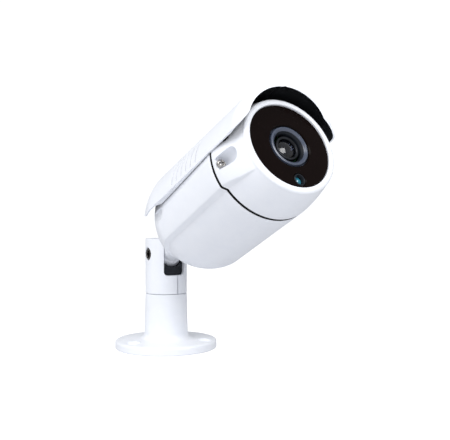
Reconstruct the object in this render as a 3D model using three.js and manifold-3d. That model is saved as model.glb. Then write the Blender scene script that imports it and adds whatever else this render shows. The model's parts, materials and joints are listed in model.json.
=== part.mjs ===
// A bullet security camera on a swivel wall bracket, with its inner parts.
// Millimetres, +Z up. The origin is the centre of the bracket flange's underside.
// The camera looks towards -Y and is stored tilted up by REST_ELEVATION.
// Pieces of the barrel are drawn in a frame of their own. Its Y axis is the optical axis, pointing backwards.
// Its Z axis is the barrel's up. "Station" is the distance forward of the tilt pivot along the optical axis.

import * as THREE from 'three';
import { mergeVertices } from 'three/addons/utils/BufferGeometryUtils.js';
import Module from 'manifold-3d';

const wasm = await Module();
wasm.setup();

// ---------------------------------------------------------------- fits

const GAP = 0.3; // between pieces that touch or slide on each other
const SLOT_CLEARANCE = 0.4; // each side of the arm in the fork's slot
const CUT_MARGIN = 1; // how far a cutting solid stands past the face it cuts

const RECESS_DEPTH_SHARE = 0.45; // a screw's cross recess, as shares of its head's height
const RECESS_REACH_SHARE = 0.6; // and of its head's radius: half its length
const RECESS_WIDTH_SHARE = 0.16; // and half its width

// ---------------------------------------------------------------- bracket

const FLANGE_RADIUS = 35;
const FLANGE_THICKNESS = 5.5;
const FLANGE_CROWN = 0.8; // rise of the flange's top from its rim to the column
const FLANGE_EDGE_RADIUS = 1.5;
const FLANGE_SCREW_CIRCLE_RADIUS = 28;
const FLANGE_SCREW_COUNT = 3;
const FLANGE_SCREW_PHASE = 71.7; // degrees from +X to the first hole
const FLANGE_SCREW_HOLE_RADIUS = 2.3;
const FLANGE_SCREW_HEAD_RADIUS = 4.6;
const FLANGE_SCREW_HEAD_DEPTH = 2.6;

const COLUMN_FOOT_RADIUS = 15.1;
const COLUMN_TOP_RADIUS = 14.4;
const COLUMN_HEIGHT = 37.4;
const COLUMN_FILLET_RADIUS = 4.2;
const COLUMN_WALL = 3.2;
const COLUMN_ROOF = 4;

const SPIGOT_RADIUS = 9;
const SPIGOT_LENGTH = 12;
const SPIGOT_GROOVE_DEPTH = 1.2;
const SPIGOT_GROOVE_WIDTH = 5;
const CABLE_BORE_RADIUS = 5;

const FORK_RADIUS = COLUMN_TOP_RADIUS;
const FORK_HEIGHT = 38;
const FORK_WALL = 2.9;
const FORK_BORE_RADIUS = FORK_RADIUS - FORK_WALL;
const FORK_SILL_HEIGHT = 12.9; // from the fork's foot to the slot's sill
const FORK_SLIT_WIDTH = 0.6;
const FORK_SLIT_TURN = 6; // degrees round the column from the slot's middle
const PIVOT_ABOVE_COLUMN = 27.3;

const PAN_SCREW_RADIUS = 2.2;
const PAN_SCREW_TIP_RADIUS = 1.5;
const PIVOT_SCREW_RADIUS = 4;
const PIVOT_SCREW_TIP_RADIUS = 2.5;
const PIVOT_SCREW_TIP_DEPTH = 2.4; // how far the tip enters the knuckle
const PIVOT_SCREW_INSET = 0.5; // below the fork's outer surface
const SOCKET_DEPTH = 1.5; // hexagon socket of both screws
const PIVOT_SOCKET_RADIUS = 2.4;
const PAN_SOCKET_RADIUS = 1.3;

const KNUCKLE_RADIUS = 10.9;
const KNUCKLE_WIDTH = 15;
const NECK_RADIUS = 8.3;
const NECK_LENGTH = 19;
const COLLAR_RADIUS = 8;
const COLLAR_LENGTH = 7;
const COLLAR_STATION = 24; // front face of the collar
const STUD_RADIUS = 5;
const STUD_LENGTH = 12;
const STUD_BORE_RADIUS = 2.8;
const KNUCKLE_OUTLET_RADIUS = 3.4;
const CRADLE_RIM_DROP = 3.3; // below the pivot

// ---------------------------------------------------------------- barrel

const REST_ELEVATION = 24.57; // degrees above the horizon
const AXIS_DROP = 1.9; // optical axis below the tilt pivot
const LOWER_RADIUS = 31.6;
const STEP_DEPTH = 2.5; // between the housing's two radii
const UPPER_RADIUS = LOWER_RADIUS + STEP_DEPTH;
const STEP_DROP = 14.1; // inner corner of the step below the axis
const STEP_HALF_WIDTH = Math.sqrt(LOWER_RADIUS ** 2 - STEP_DROP ** 2);
const STEP_SLOPE = 0.4;

const ARM_SEAL_THICKNESS = 1;
const SEAT_STATION = COLLAR_STATION + ARM_SEAL_THICKNESS + 2 * GAP;
const DOME_LENGTH = 38;
const DOME_POWER = 1.5;
const DOME_TIP_STATION = 22;
const DOME_END_STATION = DOME_TIP_STATION + DOME_LENGTH;
const BODY_LENGTH = 67.75; // straight part of the housing
const HOUSING_FRONT = DOME_END_STATION + BODY_LENGTH;
const REAR_WALL = 5;
const HOUSING_WALL = 2.6;
const HOUSING_BORE_RADIUS = LOWER_RADIUS - HOUSING_WALL;

const GASKET_THICKNESS = 1.15;
const GASKET_RECESS = 0.35;
const CAP_REAR = HOUSING_FRONT + GASKET_THICKNESS + 2 * GAP;
const CAP_LENGTH = 24.5;
const BEZEL_FRONT = CAP_REAR + CAP_LENGTH;
const CAP_WALL = 5.6; // at the cap's rear, from the lower radius to the bore
const CAP_BORE_RADIUS = LOWER_RADIUS - CAP_WALL;
const CAP_SKIRT_LENGTH = 7;
const CAP_SKIRT_WALL = 1.7;
const CAP_SKIRT_RADIUS = HOUSING_BORE_RADIUS - GAP;
const CARRIER_BORE_RADIUS = CAP_SKIRT_RADIUS - CAP_SKIRT_WALL;
const BEZEL_WALL = 2.1;
const BEZEL_RADIUS = CAP_BORE_RADIUS + BEZEL_WALL;
const BEZEL_LIP_WIDTH = 1.4;
const BEZEL_OPENING_RADIUS = CAP_BORE_RADIUS - BEZEL_LIP_WIDTH;
const BEZEL_EDGE_RADIUS = 2;
const CAP_FALL_POWER = 1.6; // of the flank's fall from the rear to the bezel
const BEZEL_LIP_SET_BACK = 1.1;
const BEZEL_LIP_THICKNESS = 1;

const CAP_SCREW_ANGLE = 93; // degrees from the barrel's top to each side
const CAP_SCREW_CIRCLE_RADIUS = LOWER_RADIUS - 0.4;
const CAP_SCREW_RADIUS = 1.4;
const CAP_SCREW_HEAD_RADIUS = 2.6;
const CAP_SCREW_HEAD_HEIGHT = 2.2;
const CAP_SCREW_LENGTH = 11;
const CAP_SCREW = {
  shank: CAP_SCREW_RADIUS,
  depth: CAP_SCREW_LENGTH,
  headRadius: CAP_SCREW_HEAD_RADIUS,
  headHeight: CAP_SCREW_HEAD_HEIGHT,
};
const CAP_SCREW_SEAT = 2.5; // from the cap's rear face to the head's seat
const SCOOP_RADIUS = 4.2;
const SCOOP_LENGTH = 11; // straight part in front of the head's seat

const HOLLOW_END = 62.3; // station of the shallow hollow's round front end, at the rear of each flank
const HOLLOW_RADIUS = 9;
const HOLLOW_DEPTH = 1.3;
const HOLLOW_TOP = 5.6; // its top edge above the axis

// ---------------------------------------------------------------- sunshield

const SHIELD_WALL = 1.1;
const SHIELD_TAPER = 0.0455; // radius lost for each millimetre forward
const SHIELD_EDGE_HEIGHT = 7; // lower edge above the optical axis
const SHIELD_REAR = 40;
const SHIELD_SHOULDER = 60; // where the rear end begins to round in
const SHIELD_REAR_CORNER = 13;
const SHIELD_REAR_DROP = 5.6; // radius lost at the rear end
const SHIELD_REAR_POWER = 1.6;
const SHIELD_SWEEP_STATION = BEZEL_FRONT - 16; // where the lower edge begins to sweep up to the rim
const SHIELD_SWEEP_RISE = 8.5;
const SHIELD_FRONT_LOW = BEZEL_FRONT + 4.2; // station of the rim's lower ends
const SHIELD_FRONT_TOP = BEZEL_FRONT + 8.2;
const SHIELD_LIP_LENGTH = 6;
const SHIELD_LIP_DROP = 2.3;
const SHIELD_TRAVEL = 8;
const LOUVRE_COUNT = 6;
const LOUVRE_PITCH = 5.4;
const LOUVRE_FIRST = HOUSING_FRONT - 40.05;
const LOUVRE_WIDTH = 0.9;
const LOUVRE_DEPTH = 0.5;
const LOUVRE_LOW_ANGLE = 74.5;
const LOUVRE_HIGH_ANGLE = 50;
const SHIELD_SCREW_STATIONS = [HOUSING_FRONT - 55.75, HOUSING_FRONT - 27.75];
const SHIELD_SCREW_RADIUS = 1.5;
const SHIELD_SCREW_HEAD_RADIUS = 3;
const SHIELD_SCREW_HEAD_HEIGHT = 1.6;
const SHIELD_SCREW_DEPTH = 3.6; // into the housing
const BUMPER_STATION = BEZEL_FRONT - 13;
const BUMPER_LENGTH = 4;
const BUMPER_THICKNESS = 0.8;

// ---------------------------------------------------------------- window and lens

const WINDOW_THICKNESS = 2; // at its rim, behind the bezel's lip
const WINDOW_RADIUS = CAP_BORE_RADIUS - GAP;
const WINDOW_SHOULDER = BEZEL_FRONT - BEZEL_LIP_SET_BACK - BEZEL_LIP_THICKNESS - GAP;
const WINDOW_REAR = WINDOW_SHOULDER - WINDOW_THICKNESS;
const WINDOW_FRONT = BEZEL_FRONT - BEZEL_LIP_SET_BACK; // of its raised middle, level with the bezel's lip
const WINDOW_SEAL_WIDTH = 1.3;
const WINDOW_SEAL_THICKNESS = 1;
const TRIM_RADIUS = 11.6;
const TRIM_OPENING_RADIUS = 8;
const TRIM_CHAMFER = 1.3;
const TRIM_FLANGE_WIDTH = 2;
const TRIM_FLANGE_THICKNESS = 1.5;
const WINDOW_HOLE_CLEARANCE = 0.7;

const LENS_HEAD_RADIUS = 7;
const LENS_HEAD_LENGTH = 6;
const LENS_THREAD_RADIUS = 5.8;
const LENS_THREAD_LENGTH = 12;
const LENS_SET_BACK = 2.4; // lens head behind the trim ring's front
const FRONT_ELEMENT_RADIUS = 5.2;
const FRONT_ELEMENT_THICKNESS = 2.4;
const REAR_ELEMENT_RADIUS = 3.6;
const REAR_ELEMENT_THICKNESS = 1.8;
const FRONT_ELEMENT_SAG = 1.2;
const REAR_ELEMENT_SAG = 0.8;
const LENS_STOP_RADIUS = 2.6;

const PHOTOCELL_HOLDER_RADIUS = 3.4;
const PHOTOCELL_SURROUND = 1.1; // window left between its hole and the opening's edge
const PHOTOCELL_DROP = BEZEL_OPENING_RADIUS - PHOTOCELL_HOLDER_RADIUS - GAP - PHOTOCELL_SURROUND;
const PHOTOCELL_RADIUS = 2.1;
const PHOTOCELL_SET_BACK = 1.2;

// ---------------------------------------------------------------- boards and their frame

const BOARD_THICKNESS = 1.6;
const CARRIER_THICKNESS = 2;
const CARRIER_SHOULDER = 5.8; // from the cap's rear face to the shoulder that the carrier meets
const CARRIER_RADIUS = CARRIER_BORE_RADIUS - GAP;
const CARRIER_FRONT = CAP_REAR + CARRIER_SHOULDER - GAP;
const CARRIER_REAR = CARRIER_FRONT - CARRIER_THICKNESS;
const CARRIER_SCREW_RADIUS = 1.1;
const CARRIER_SCREW_HEAD_RADIUS = 2;
const CARRIER_SCREW_HEAD_HEIGHT = 1.4;
const CARRIER_SCREW_CIRCLE_RADIUS = CARRIER_BORE_RADIUS - 2.8;
const CARRIER_SCREW_ANGLE = 60; // degrees from the barrel's top to each side
const CARRIER_SCREW_REACH = 3; // into the cap's lug
const CARRIER_SCREW = {
  shank: CARRIER_SCREW_RADIUS,
  headRadius: CARRIER_SCREW_HEAD_RADIUS,
  headHeight: CARRIER_SCREW_HEAD_HEIGHT,
};
const CARRIER_LUG_RADIUS = 2.4;
const CARRIER_LUG_LENGTH = 5;

const LED_POST_LENGTH = 3.4;
const LED_POST_RADIUS = 1.6;
const LED_BOARD_RADIUS = CAP_BORE_RADIUS - 1;
const LED_POST_CIRCLE_RADIUS = LED_BOARD_RADIUS - 3;
const LED_POST_COUNT = 3;
const LED_BOARD_HOLE_RADIUS = 10;
const LED_COUNT = 6;
const LED_CIRCLE_RADIUS = LED_BOARD_RADIUS - 7;
const LED_RADIUS = 3.8;
const LED_HEIGHT = 5.2;
const LED_FLANGE_HEIGHT = 1;
const LED_FLANGE_WIDTH = 0.5;

const STANDOFF_RADIUS = 1.8;
const STANDOFF_LENGTH = 9.8;
const STANDOFF_OFFSET = 15;
const SENSOR_BOARD_SIZE = 36;
const IMAGE_SENSOR_SIZE = [9, 7, 1.4];
const HOLDER_BASE_SIZE = [27, 17, 8];
const HOLDER_TUBE_WALL = 1.9;
const HOLDER_TUBE_RADIUS = LENS_THREAD_RADIUS + GAP + HOLDER_TUBE_WALL;
const HOLDER_TUBE_LENGTH = 9.5;
const HOLDER_WELL_SIZE = 12;
const HOLDER_SCREW_INSET = 2.2; // from the block's edges
const HOLDER_SCREW_RADIUS = 1;
const HOLDER_SCREW_HEAD_RADIUS = 1.8;
const HOLDER_SCREW_HEAD_HEIGHT = 1.2;
const HOLDER_SCREW_DEPTH = 3;
const HOLDER_SCREW = {
  shank: HOLDER_SCREW_RADIUS,
  headRadius: HOLDER_SCREW_HEAD_RADIUS,
  headHeight: HOLDER_SCREW_HEAD_HEIGHT,
};
const SHUTTLE_SIZE = [14, 10, 1.2];
const SHUTTLE_TRAVEL = 7;
const SHUTTLE_GLASS_SIZE = 5.4;
const SHUTTLE_LEDGE = 0.5;
const SHUTTLE_FLOOR = 0.5; // under the filter's pocket
const SHUTTLE_DEPTH = 4; // of the well behind the shuttle
const FILTER_THICKNESS = 0.4;
const FILTER_COIL_SIZE = [9, 4.5, 7];

const SPACER_LENGTH = 9;
const SPACER_RADIUS = 2;
const SPACER_OFFSET = 14;
const MAIN_BOARD_SIZE = [44, 32];
const BOARD_SCREW_RADIUS = 1.2;
const BOARD_SCREW_HEAD_RADIUS = 2.4;
const BOARD_SCREW_HEAD_HEIGHT = 1.6;
const BOARD_SCREW_DEPTH = 4;
const BOARD_SCREW = {
  shank: BOARD_SCREW_RADIUS,
  headRadius: BOARD_SCREW_HEAD_RADIUS,
  headHeight: BOARD_SCREW_HEAD_HEIGHT,
};

const ROLL_NUT_RADIUS = 8.4;
const ROLL_NUT_THICKNESS = 4.5;
const GROMMET_RADIUS = 4.8;
const GROMMET_HOLE_RADIUS = 1.6;
const GROMMET_THICKNESS = 2.2;
const GROMMET_SLEEVE = 3; // how far its sleeve reaches into the stud

// ---------------------------------------------------------------- facets of round shapes

const FINE = 36;
const MEDIUM = 20;
const COARSE = 12;

// ---------------------------------------------------------------- solids

/** A closed three.js geometry as a solid, with its faces turned outwards. */
function solidOf(geometry) {
  const bare = new THREE.BufferGeometry();
  bare.setAttribute('position', geometry.getAttribute('position').clone());
  if (geometry.index) bare.setIndex(geometry.index.clone());
  const merged = mergeVertices(bare, 1e-4);
  const index = merged.index.array;
  const faces = [];
  for (let i = 0; i < index.length; i += 3) {
    const [a, b, c] = [index[i], index[i + 1], index[i + 2]];
    if (a !== b && b !== c && c !== a) faces.push(a, b, c);
  }
  const vertProperties = new Float32Array(merged.getAttribute('position').array);
  if (signedVolume(vertProperties, faces) < 0) faces.reverse();
  return new wasm.Manifold(new wasm.Mesh({ numProp: 3, vertProperties, triVerts: new Uint32Array(faces) }));
}

/** Six times the volume inside a closed triangle list, negative when its faces point inwards. */
function signedVolume(points, faces) {
  const corner = (k) => new THREE.Vector3(points[3 * k], points[3 * k + 1], points[3 * k + 2]);
  let sum = 0;
  for (let i = 0; i < faces.length; i += 3) {
    sum += corner(faces[i]).dot(corner(faces[i + 1]).cross(corner(faces[i + 2])));
  }
  return sum;
}

/** A solid as a three.js geometry. */
function geometryOf(solid) {
  const { vertProperties, triVerts } = solid.getMesh();
  const geometry = new THREE.BufferGeometry();
  geometry.setAttribute('position', new THREE.BufferAttribute(vertProperties, 3));
  geometry.setIndex(new THREE.BufferAttribute(triVerts, 1));
  geometry.computeVertexNormals();
  return geometry;
}

/** Turned about the barrel's axis: profile points are [radius, station]. */
function turned(profile, facets = FINE) {
  const points = profile.map(([radius, station]) => new THREE.Vector2(Math.max(radius, 0), -station));
  return solidOf(new THREE.LatheGeometry(closed(points), facets));
}

/** Turned about the vertical axis: profile points are [radius, height]. */
function turnedUpright(profile, facets = FINE) {
  const points = profile.map(([radius, height]) => new THREE.Vector2(Math.max(radius, 0), height));
  return solidOf(new THREE.LatheGeometry(closed(points), facets).rotateX(Math.PI / 2));
}

/** A profile that stands off the axis is closed on itself. */
function closed(points) {
  const onAxis = points[0].x === 0 && points[points.length - 1].x === 0;
  return onAxis ? points : [...points, points[0].clone()];
}

/** A round bar along the barrel's axis between two stations. */
function bar(radius, from, to, x = 0, z = 0, facets = COARSE) {
  const geometry = new THREE.CylinderGeometry(radius, radius, to - from, facets);
  return solidOf(geometry.translate(x, -(from + to) / 2, z));
}

/** A ring along the barrel's axis between two stations. */
function ring(outer, inner, from, to, facets = MEDIUM) {
  return turned([[inner, from], [outer, from], [outer, to], [inner, to]], facets);
}

/** An upright round bar between two heights. */
function post(radius, low, high, facets = MEDIUM) {
  const geometry = new THREE.CylinderGeometry(radius, radius, high - low, facets).rotateX(Math.PI / 2);
  return solidOf(geometry.translate(0, 0, (low + high) / 2));
}

/** A block given by its lowest and highest corners. */
function block([x0, y0, z0], [x1, y1, z1]) {
  const geometry = new THREE.BoxGeometry(x1 - x0, y1 - y0, z1 - z0);
  return solidOf(geometry.translate((x0 + x1) / 2, (y0 + y1) / 2, (z0 + z1) / 2));
}

/** A block across the barrel's axis, centred on x and z, between two stations. */
function plate(width, height, from, to, x = 0, z = 0) {
  return block([x - width / 2, -to, z - height / 2], [x + width / 2, -from, z + height / 2]);
}

/** An outline in the barrel's side view, points [station, height], carried across its whole width. */
function sideSlab(shape, halfWidth) {
  const geometry = new THREE.ExtrudeGeometry(shape, { depth: 2 * halfWidth, bevelEnabled: false });
  geometry.translate(0, 0, -halfWidth).rotateY(-Math.PI / 2).rotateX(Math.PI / 2);
  return solidOf(geometry);
}

/** An outline across the barrel, points [x, height], carried between two stations. */
function crossSlab(shape, from, to) {
  const geometry = new THREE.ExtrudeGeometry(shape, { depth: to - from, bevelEnabled: false });
  return solidOf(geometry.rotateX(Math.PI / 2).translate(0, -from, 0));
}

/** Solid minus each of the cutters. */
function cut(solid, ...cutters) {
  return cutters.reduce((left, cutter) => left.subtract(cutter), solid);
}

/** Several solids joined into one. */
function joined(first, ...others) {
  return others.reduce((sum, other) => sum.add(other), first);
}

/** Points of a list, count of them, from a function of the share of the way along. */
function sweep(count, point) {
  return Array.from({ length: count }, (_, i) => point(i / (count - 1)));
}

const radians = THREE.MathUtils.degToRad;

/** Where a piece on a circle about the optical axis stands: angle from the barrel's top towards +X. */
function onCircle(radius, angle) {
  return [radius * Math.sin(radians(angle)), radius * Math.cos(radians(angle))];
}

// ---------------------------------------------------------------- bracket pieces

function baseSolid() {
  const crownHeight = FLANGE_THICKNESS + FLANGE_CROWN;
  const filletFoot = COLUMN_FOOT_RADIUS + COLUMN_FILLET_RADIUS;
  const edge = sweep(4, (s) => [
    FLANGE_RADIUS - FLANGE_EDGE_RADIUS * (1 - Math.cos((s * Math.PI) / 2)),
    FLANGE_THICKNESS - FLANGE_EDGE_RADIUS * (1 - Math.sin((s * Math.PI) / 2)),
  ]);
  const fillet = sweep(5, (s) => [
    filletFoot - COLUMN_FILLET_RADIUS * Math.sin((s * Math.PI) / 2),
    crownHeight + COLUMN_FILLET_RADIUS * (1 - Math.cos((s * Math.PI) / 2)),
  ]);
  const spigotTop = COLUMN_HEIGHT + SPIGOT_LENGTH;
  const hollow = COLUMN_FOOT_RADIUS - COLUMN_WALL;
  const body = turnedUpright([
    [hollow, 0],
    [FLANGE_RADIUS, 0],
    ...edge,
    ...fillet,
    [COLUMN_TOP_RADIUS, COLUMN_HEIGHT],
    [SPIGOT_RADIUS, COLUMN_HEIGHT],
    [SPIGOT_RADIUS, grooveLow()],
    [SPIGOT_RADIUS - SPIGOT_GROOVE_DEPTH, grooveLow()],
    [SPIGOT_RADIUS - SPIGOT_GROOVE_DEPTH, grooveLow() + SPIGOT_GROOVE_WIDTH],
    [SPIGOT_RADIUS, grooveLow() + SPIGOT_GROOVE_WIDTH],
    [SPIGOT_RADIUS, spigotTop],
    [CABLE_BORE_RADIUS, spigotTop],
    [CABLE_BORE_RADIUS, COLUMN_HEIGHT - COLUMN_ROOF],
    [hollow, COLUMN_HEIGHT - COLUMN_ROOF],
  ]);
  const holes = sweep(FLANGE_SCREW_COUNT + 1, (s) => s * 360)
    .slice(1)
    .map((turn) => countersunkHole(FLANGE_SCREW_PHASE + turn));
  return cut(body, ...holes);
}

function grooveLow() {
  return COLUMN_HEIGHT + (SPIGOT_LENGTH - SPIGOT_GROOVE_WIDTH) / 2;
}

function countersunkHole(angle) {
  const top = FLANGE_THICKNESS + FLANGE_CROWN + CUT_MARGIN;
  const shoulder = FLANGE_THICKNESS - FLANGE_SCREW_HEAD_DEPTH;
  const profile = [
    [0, -CUT_MARGIN],
    [FLANGE_SCREW_HOLE_RADIUS, -CUT_MARGIN],
    [FLANGE_SCREW_HOLE_RADIUS, shoulder],
    [FLANGE_SCREW_HEAD_RADIUS, FLANGE_THICKNESS],
    [FLANGE_SCREW_HEAD_RADIUS, top],
    [0, top],
  ].map(([radius, height]) => new THREE.Vector2(radius, height));
  const geometry = new THREE.LatheGeometry(profile, COARSE).rotateX(Math.PI / 2);
  const x = FLANGE_SCREW_CIRCLE_RADIUS * Math.cos(radians(angle));
  const y = FLANGE_SCREW_CIRCLE_RADIUS * Math.sin(radians(angle));
  return solidOf(geometry.translate(x, y, 0));
}

const PIVOT_HEIGHT = COLUMN_HEIGHT + PIVOT_ABOVE_COLUMN;
const SILL_HEIGHT = COLUMN_HEIGHT + FORK_SILL_HEIGHT;
const FORK_TOP = COLUMN_HEIGHT + FORK_HEIGHT;
const SLOT_WIDTH = KNUCKLE_WIDTH + 2 * SLOT_CLEARANCE;
const PAN_SCREW_HEIGHT = COLUMN_HEIGHT + SPIGOT_LENGTH / 2;

/** A round bar along X between two places, at the height of the tilt pivot. */
function crossBar(radius, from, to, facets = COARSE) {
  const geometry = new THREE.CylinderGeometry(radius, radius, to - from, facets).rotateZ(Math.PI / 2);
  return solidOf(geometry.translate((from + to) / 2, 0, PIVOT_HEIGHT));
}

/** A round bar along Y between two places, at the height of the pan lock screw. */
function lockBar(radius, from, to, facets = COARSE) {
  const geometry = new THREE.CylinderGeometry(radius, radius, to - from, facets);
  return solidOf(geometry.translate(0, (from + to) / 2, PAN_SCREW_HEIGHT));
}

function forkSolid() {
  const foot = COLUMN_HEIGHT + GAP;
  const body = turnedUpright([
    [SPIGOT_RADIUS + GAP, foot],
    [FORK_RADIUS, foot],
    [FORK_RADIUS, FORK_TOP],
    [FORK_BORE_RADIUS, FORK_TOP],
    [FORK_BORE_RADIUS, SILL_HEIGHT],
    [SPIGOT_RADIUS + GAP, SILL_HEIGHT],
  ]);
  const reach = FORK_RADIUS + CUT_MARGIN;
  const slot = block([-SLOT_WIDTH / 2, -reach, SILL_HEIGHT], [SLOT_WIDTH / 2, 0, FORK_TOP + CUT_MARGIN]);
  const slitLow = foot - CUT_MARGIN;
  const slitHeight = SILL_HEIGHT + CUT_MARGIN - slitLow;
  const slit = new THREE.BoxGeometry(FORK_SLIT_WIDTH, reach, slitHeight);
  slit.translate(0, -reach / 2, slitLow + slitHeight / 2).rotateZ(radians(FORK_SLIT_TURN));
  const screwHoles = crossBar(PIVOT_SCREW_RADIUS + GAP, -reach, reach, MEDIUM);
  const lockHole = lockBar(PAN_SCREW_RADIUS + GAP, 0, reach);
  return cut(body, slot, solidOf(slit), screwHoles, lockHole);
}

/** The black saddle under the knuckle: a cup with a trough in front and behind for the neck. */
function cradleSolid() {
  const rim = PIVOT_HEIGHT - CRADLE_RIM_DROP;
  const cup = post(FORK_BORE_RADIUS - GAP, SILL_HEIGHT + GAP, rim);
  const ball = new THREE.SphereGeometry(KNUCKLE_RADIUS + GAP, MEDIUM, COARSE).translate(0, 0, PIVOT_HEIGHT);
  const reach = FORK_RADIUS;
  const neckRoom = new THREE.CylinderGeometry(NECK_RADIUS + GAP, NECK_RADIUS + GAP, 2 * reach, MEDIUM);
  neckRoom.translate(0, 0, PIVOT_HEIGHT);
  const screwRoom = crossBar(PIVOT_SCREW_RADIUS + 2 * GAP, -reach, reach);
  const cableRoom = post(CABLE_BORE_RADIUS, 0, PIVOT_HEIGHT, COARSE);
  return cut(cup, solidOf(ball), solidOf(neckRoom), screwRoom, cableRoom);
}

/** A hexagon socket set screw with a round tip, side is -1 or +1 along X. */
function pivotScrewSolid(side) {
  const outer = FORK_RADIUS - PIVOT_SCREW_INSET;
  const shoulder = KNUCKLE_WIDTH / 2 + 2 * GAP;
  const tip = KNUCKLE_WIDTH / 2 - PIVOT_SCREW_TIP_DEPTH;
  const along = (from, to) => [Math.min(side * from, side * to), Math.max(side * from, side * to)];
  const body = crossBar(PIVOT_SCREW_RADIUS, ...along(shoulder, outer));
  const pin = crossBar(PIVOT_SCREW_TIP_RADIUS, ...along(tip, shoulder + CUT_MARGIN));
  const socket = crossBar(PIVOT_SOCKET_RADIUS, ...along(outer - SOCKET_DEPTH, outer + CUT_MARGIN), 6);
  return cut(joined(body, pin), socket);
}

function panScrewSolid() {
  const outer = FORK_RADIUS - PIVOT_SCREW_INSET;
  const shoulder = SPIGOT_RADIUS + GAP + CUT_MARGIN / 2;
  const tip = SPIGOT_RADIUS - SPIGOT_GROOVE_DEPTH + GAP;
  const body = lockBar(PAN_SCREW_RADIUS, shoulder, outer);
  const pin = lockBar(PAN_SCREW_TIP_RADIUS, tip, shoulder + CUT_MARGIN / 2);
  const socket = lockBar(PAN_SOCKET_RADIUS, outer - SOCKET_DEPTH, outer + CUT_MARGIN, 6);
  return cut(joined(body, pin), socket);
}

// ---------------------------------------------------------------- arm pieces, in the barrel's frame

/** The knuckle, its neck and the eccentric collar and stud that the barrel turns on. */
function armSolid() {
  const ball = solidOf(new THREE.SphereGeometry(KNUCKLE_RADIUS, MEDIUM, COARSE).translate(0, 0, AXIS_DROP));
  const neck = bar(NECK_RADIUS, 0, NECK_LENGTH, 0, AXIS_DROP, MEDIUM);
  const half = KNUCKLE_WIDTH / 2;
  const flats = block([-half, -COLLAR_STATION, -FLANGE_RADIUS], [half, FORK_RADIUS, FLANGE_RADIUS]);
  const tongue = joined(ball, neck).intersect(flats);
  const collar = bar(COLLAR_RADIUS, COLLAR_STATION - COLLAR_LENGTH, COLLAR_STATION, 0, 0, MEDIUM);
  const stud = bar(STUD_RADIUS, COLLAR_STATION - CUT_MARGIN, COLLAR_STATION + STUD_LENGTH, 0, 0, MEDIUM);
  const bore = bar(STUD_BORE_RADIUS, -STUD_BORE_RADIUS, COLLAR_STATION + STUD_LENGTH + CUT_MARGIN);
  const outletRadius = KNUCKLE_OUTLET_RADIUS;
  const outlet = new THREE.CylinderGeometry(outletRadius, outletRadius, FORK_RADIUS, COARSE);
  outlet.rotateX(Math.PI / 2).translate(0, 0, -FORK_RADIUS / 2).rotateX(radians(REST_ELEVATION));
  outlet.translate(0, 0, AXIS_DROP);
  const socketRadius = PIVOT_SCREW_TIP_RADIUS + GAP;
  const socketFloor = KNUCKLE_WIDTH / 2 - PIVOT_SCREW_TIP_DEPTH - GAP;
  const sockets = [-1, 1].map((side) => {
    const length = KNUCKLE_RADIUS - socketFloor;
    const hole = new THREE.CylinderGeometry(socketRadius, socketRadius, length, COARSE).rotateZ(Math.PI / 2);
    return solidOf(hole.translate(side * (socketFloor + length / 2), 0, AXIS_DROP));
  });
  return cut(joined(tongue, collar, stud), bore, solidOf(outlet), ...sockets);
}

function armSealSolid() {
  const from = COLLAR_STATION + GAP;
  return ring(COLLAR_RADIUS - GAP, STUD_RADIUS + GAP, from, from + ARM_SEAL_THICKNESS);
}

const REAR_FLOOR = SEAT_STATION + REAR_WALL; // inner face of the housing's rear wall

function rollNutSolid() {
  const from = REAR_FLOOR + GAP;
  const to = from + ROLL_NUT_THICKNESS;
  return cut(
    bar(ROLL_NUT_RADIUS, from, to, 0, 0, 6),
    bar(STUD_RADIUS + GAP, from - CUT_MARGIN, to + CUT_MARGIN, 0, 0, MEDIUM),
  );
}

/** The rubber sleeve in the stud's mouth that the camera's cable would pass through. */
function grommetSolid() {
  const mouth = COLLAR_STATION + STUD_LENGTH;
  const rear = mouth + GAP;
  const flange = ring(GROMMET_RADIUS, GROMMET_HOLE_RADIUS, rear, rear + GROMMET_THICKNESS, COARSE);
  const sleeveRear = mouth - GROMMET_SLEEVE;
  const sleeve = ring(STUD_BORE_RADIUS - GAP, GROMMET_HOLE_RADIUS, sleeveRear, mouth + CUT_MARGIN, COARSE);
  return joined(flange, sleeve);
}

// ---------------------------------------------------------------- housing, gasket and cap

/** Radius of the rounded rear end: a superellipse that falls from the full radius to nothing. */
function domeRadius(station, fullRadius, length) {
  const along = Math.min(Math.max((DOME_END_STATION - station) / length, 0), 1);
  return fullRadius * Math.pow(1 - Math.pow(along, DOME_POWER), 1 / DOME_POWER);
}

function barrelProfile(radius) {
  const dome = sweep(9, (s) => {
    const station = SEAT_STATION + (DOME_END_STATION - SEAT_STATION) * (1 - Math.pow(1 - s, 1.6));
    return [domeRadius(station, radius, DOME_LENGTH), station];
  });
  return [[0, SEAT_STATION], ...dome, [radius, HOUSING_FRONT], [0, HOUSING_FRONT]];
}

/** The part of space above the step that runs along both flanks. */
function aboveStep(from, to, inset = 0) {
  const wide = 2 * UPPER_RADIUS;
  const low = -STEP_DROP + inset;
  const shape = new THREE.Shape();
  shape.moveTo(-STEP_HALF_WIDTH, low);
  shape.lineTo(STEP_HALF_WIDTH, low);
  shape.lineTo(wide, low + STEP_SLOPE * (wide - STEP_HALF_WIDTH));
  shape.lineTo(wide, wide);
  shape.lineTo(-wide, wide);
  shape.lineTo(-wide, low + STEP_SLOPE * (wide - STEP_HALF_WIDTH));
  shape.closePath();
  return crossSlab(shape, from, to);
}

function capScrewPlaces() {
  return [-1, 1].map((side) => onCircle(CAP_SCREW_CIRCLE_RADIUS, side * CAP_SCREW_ANGLE));
}

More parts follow.
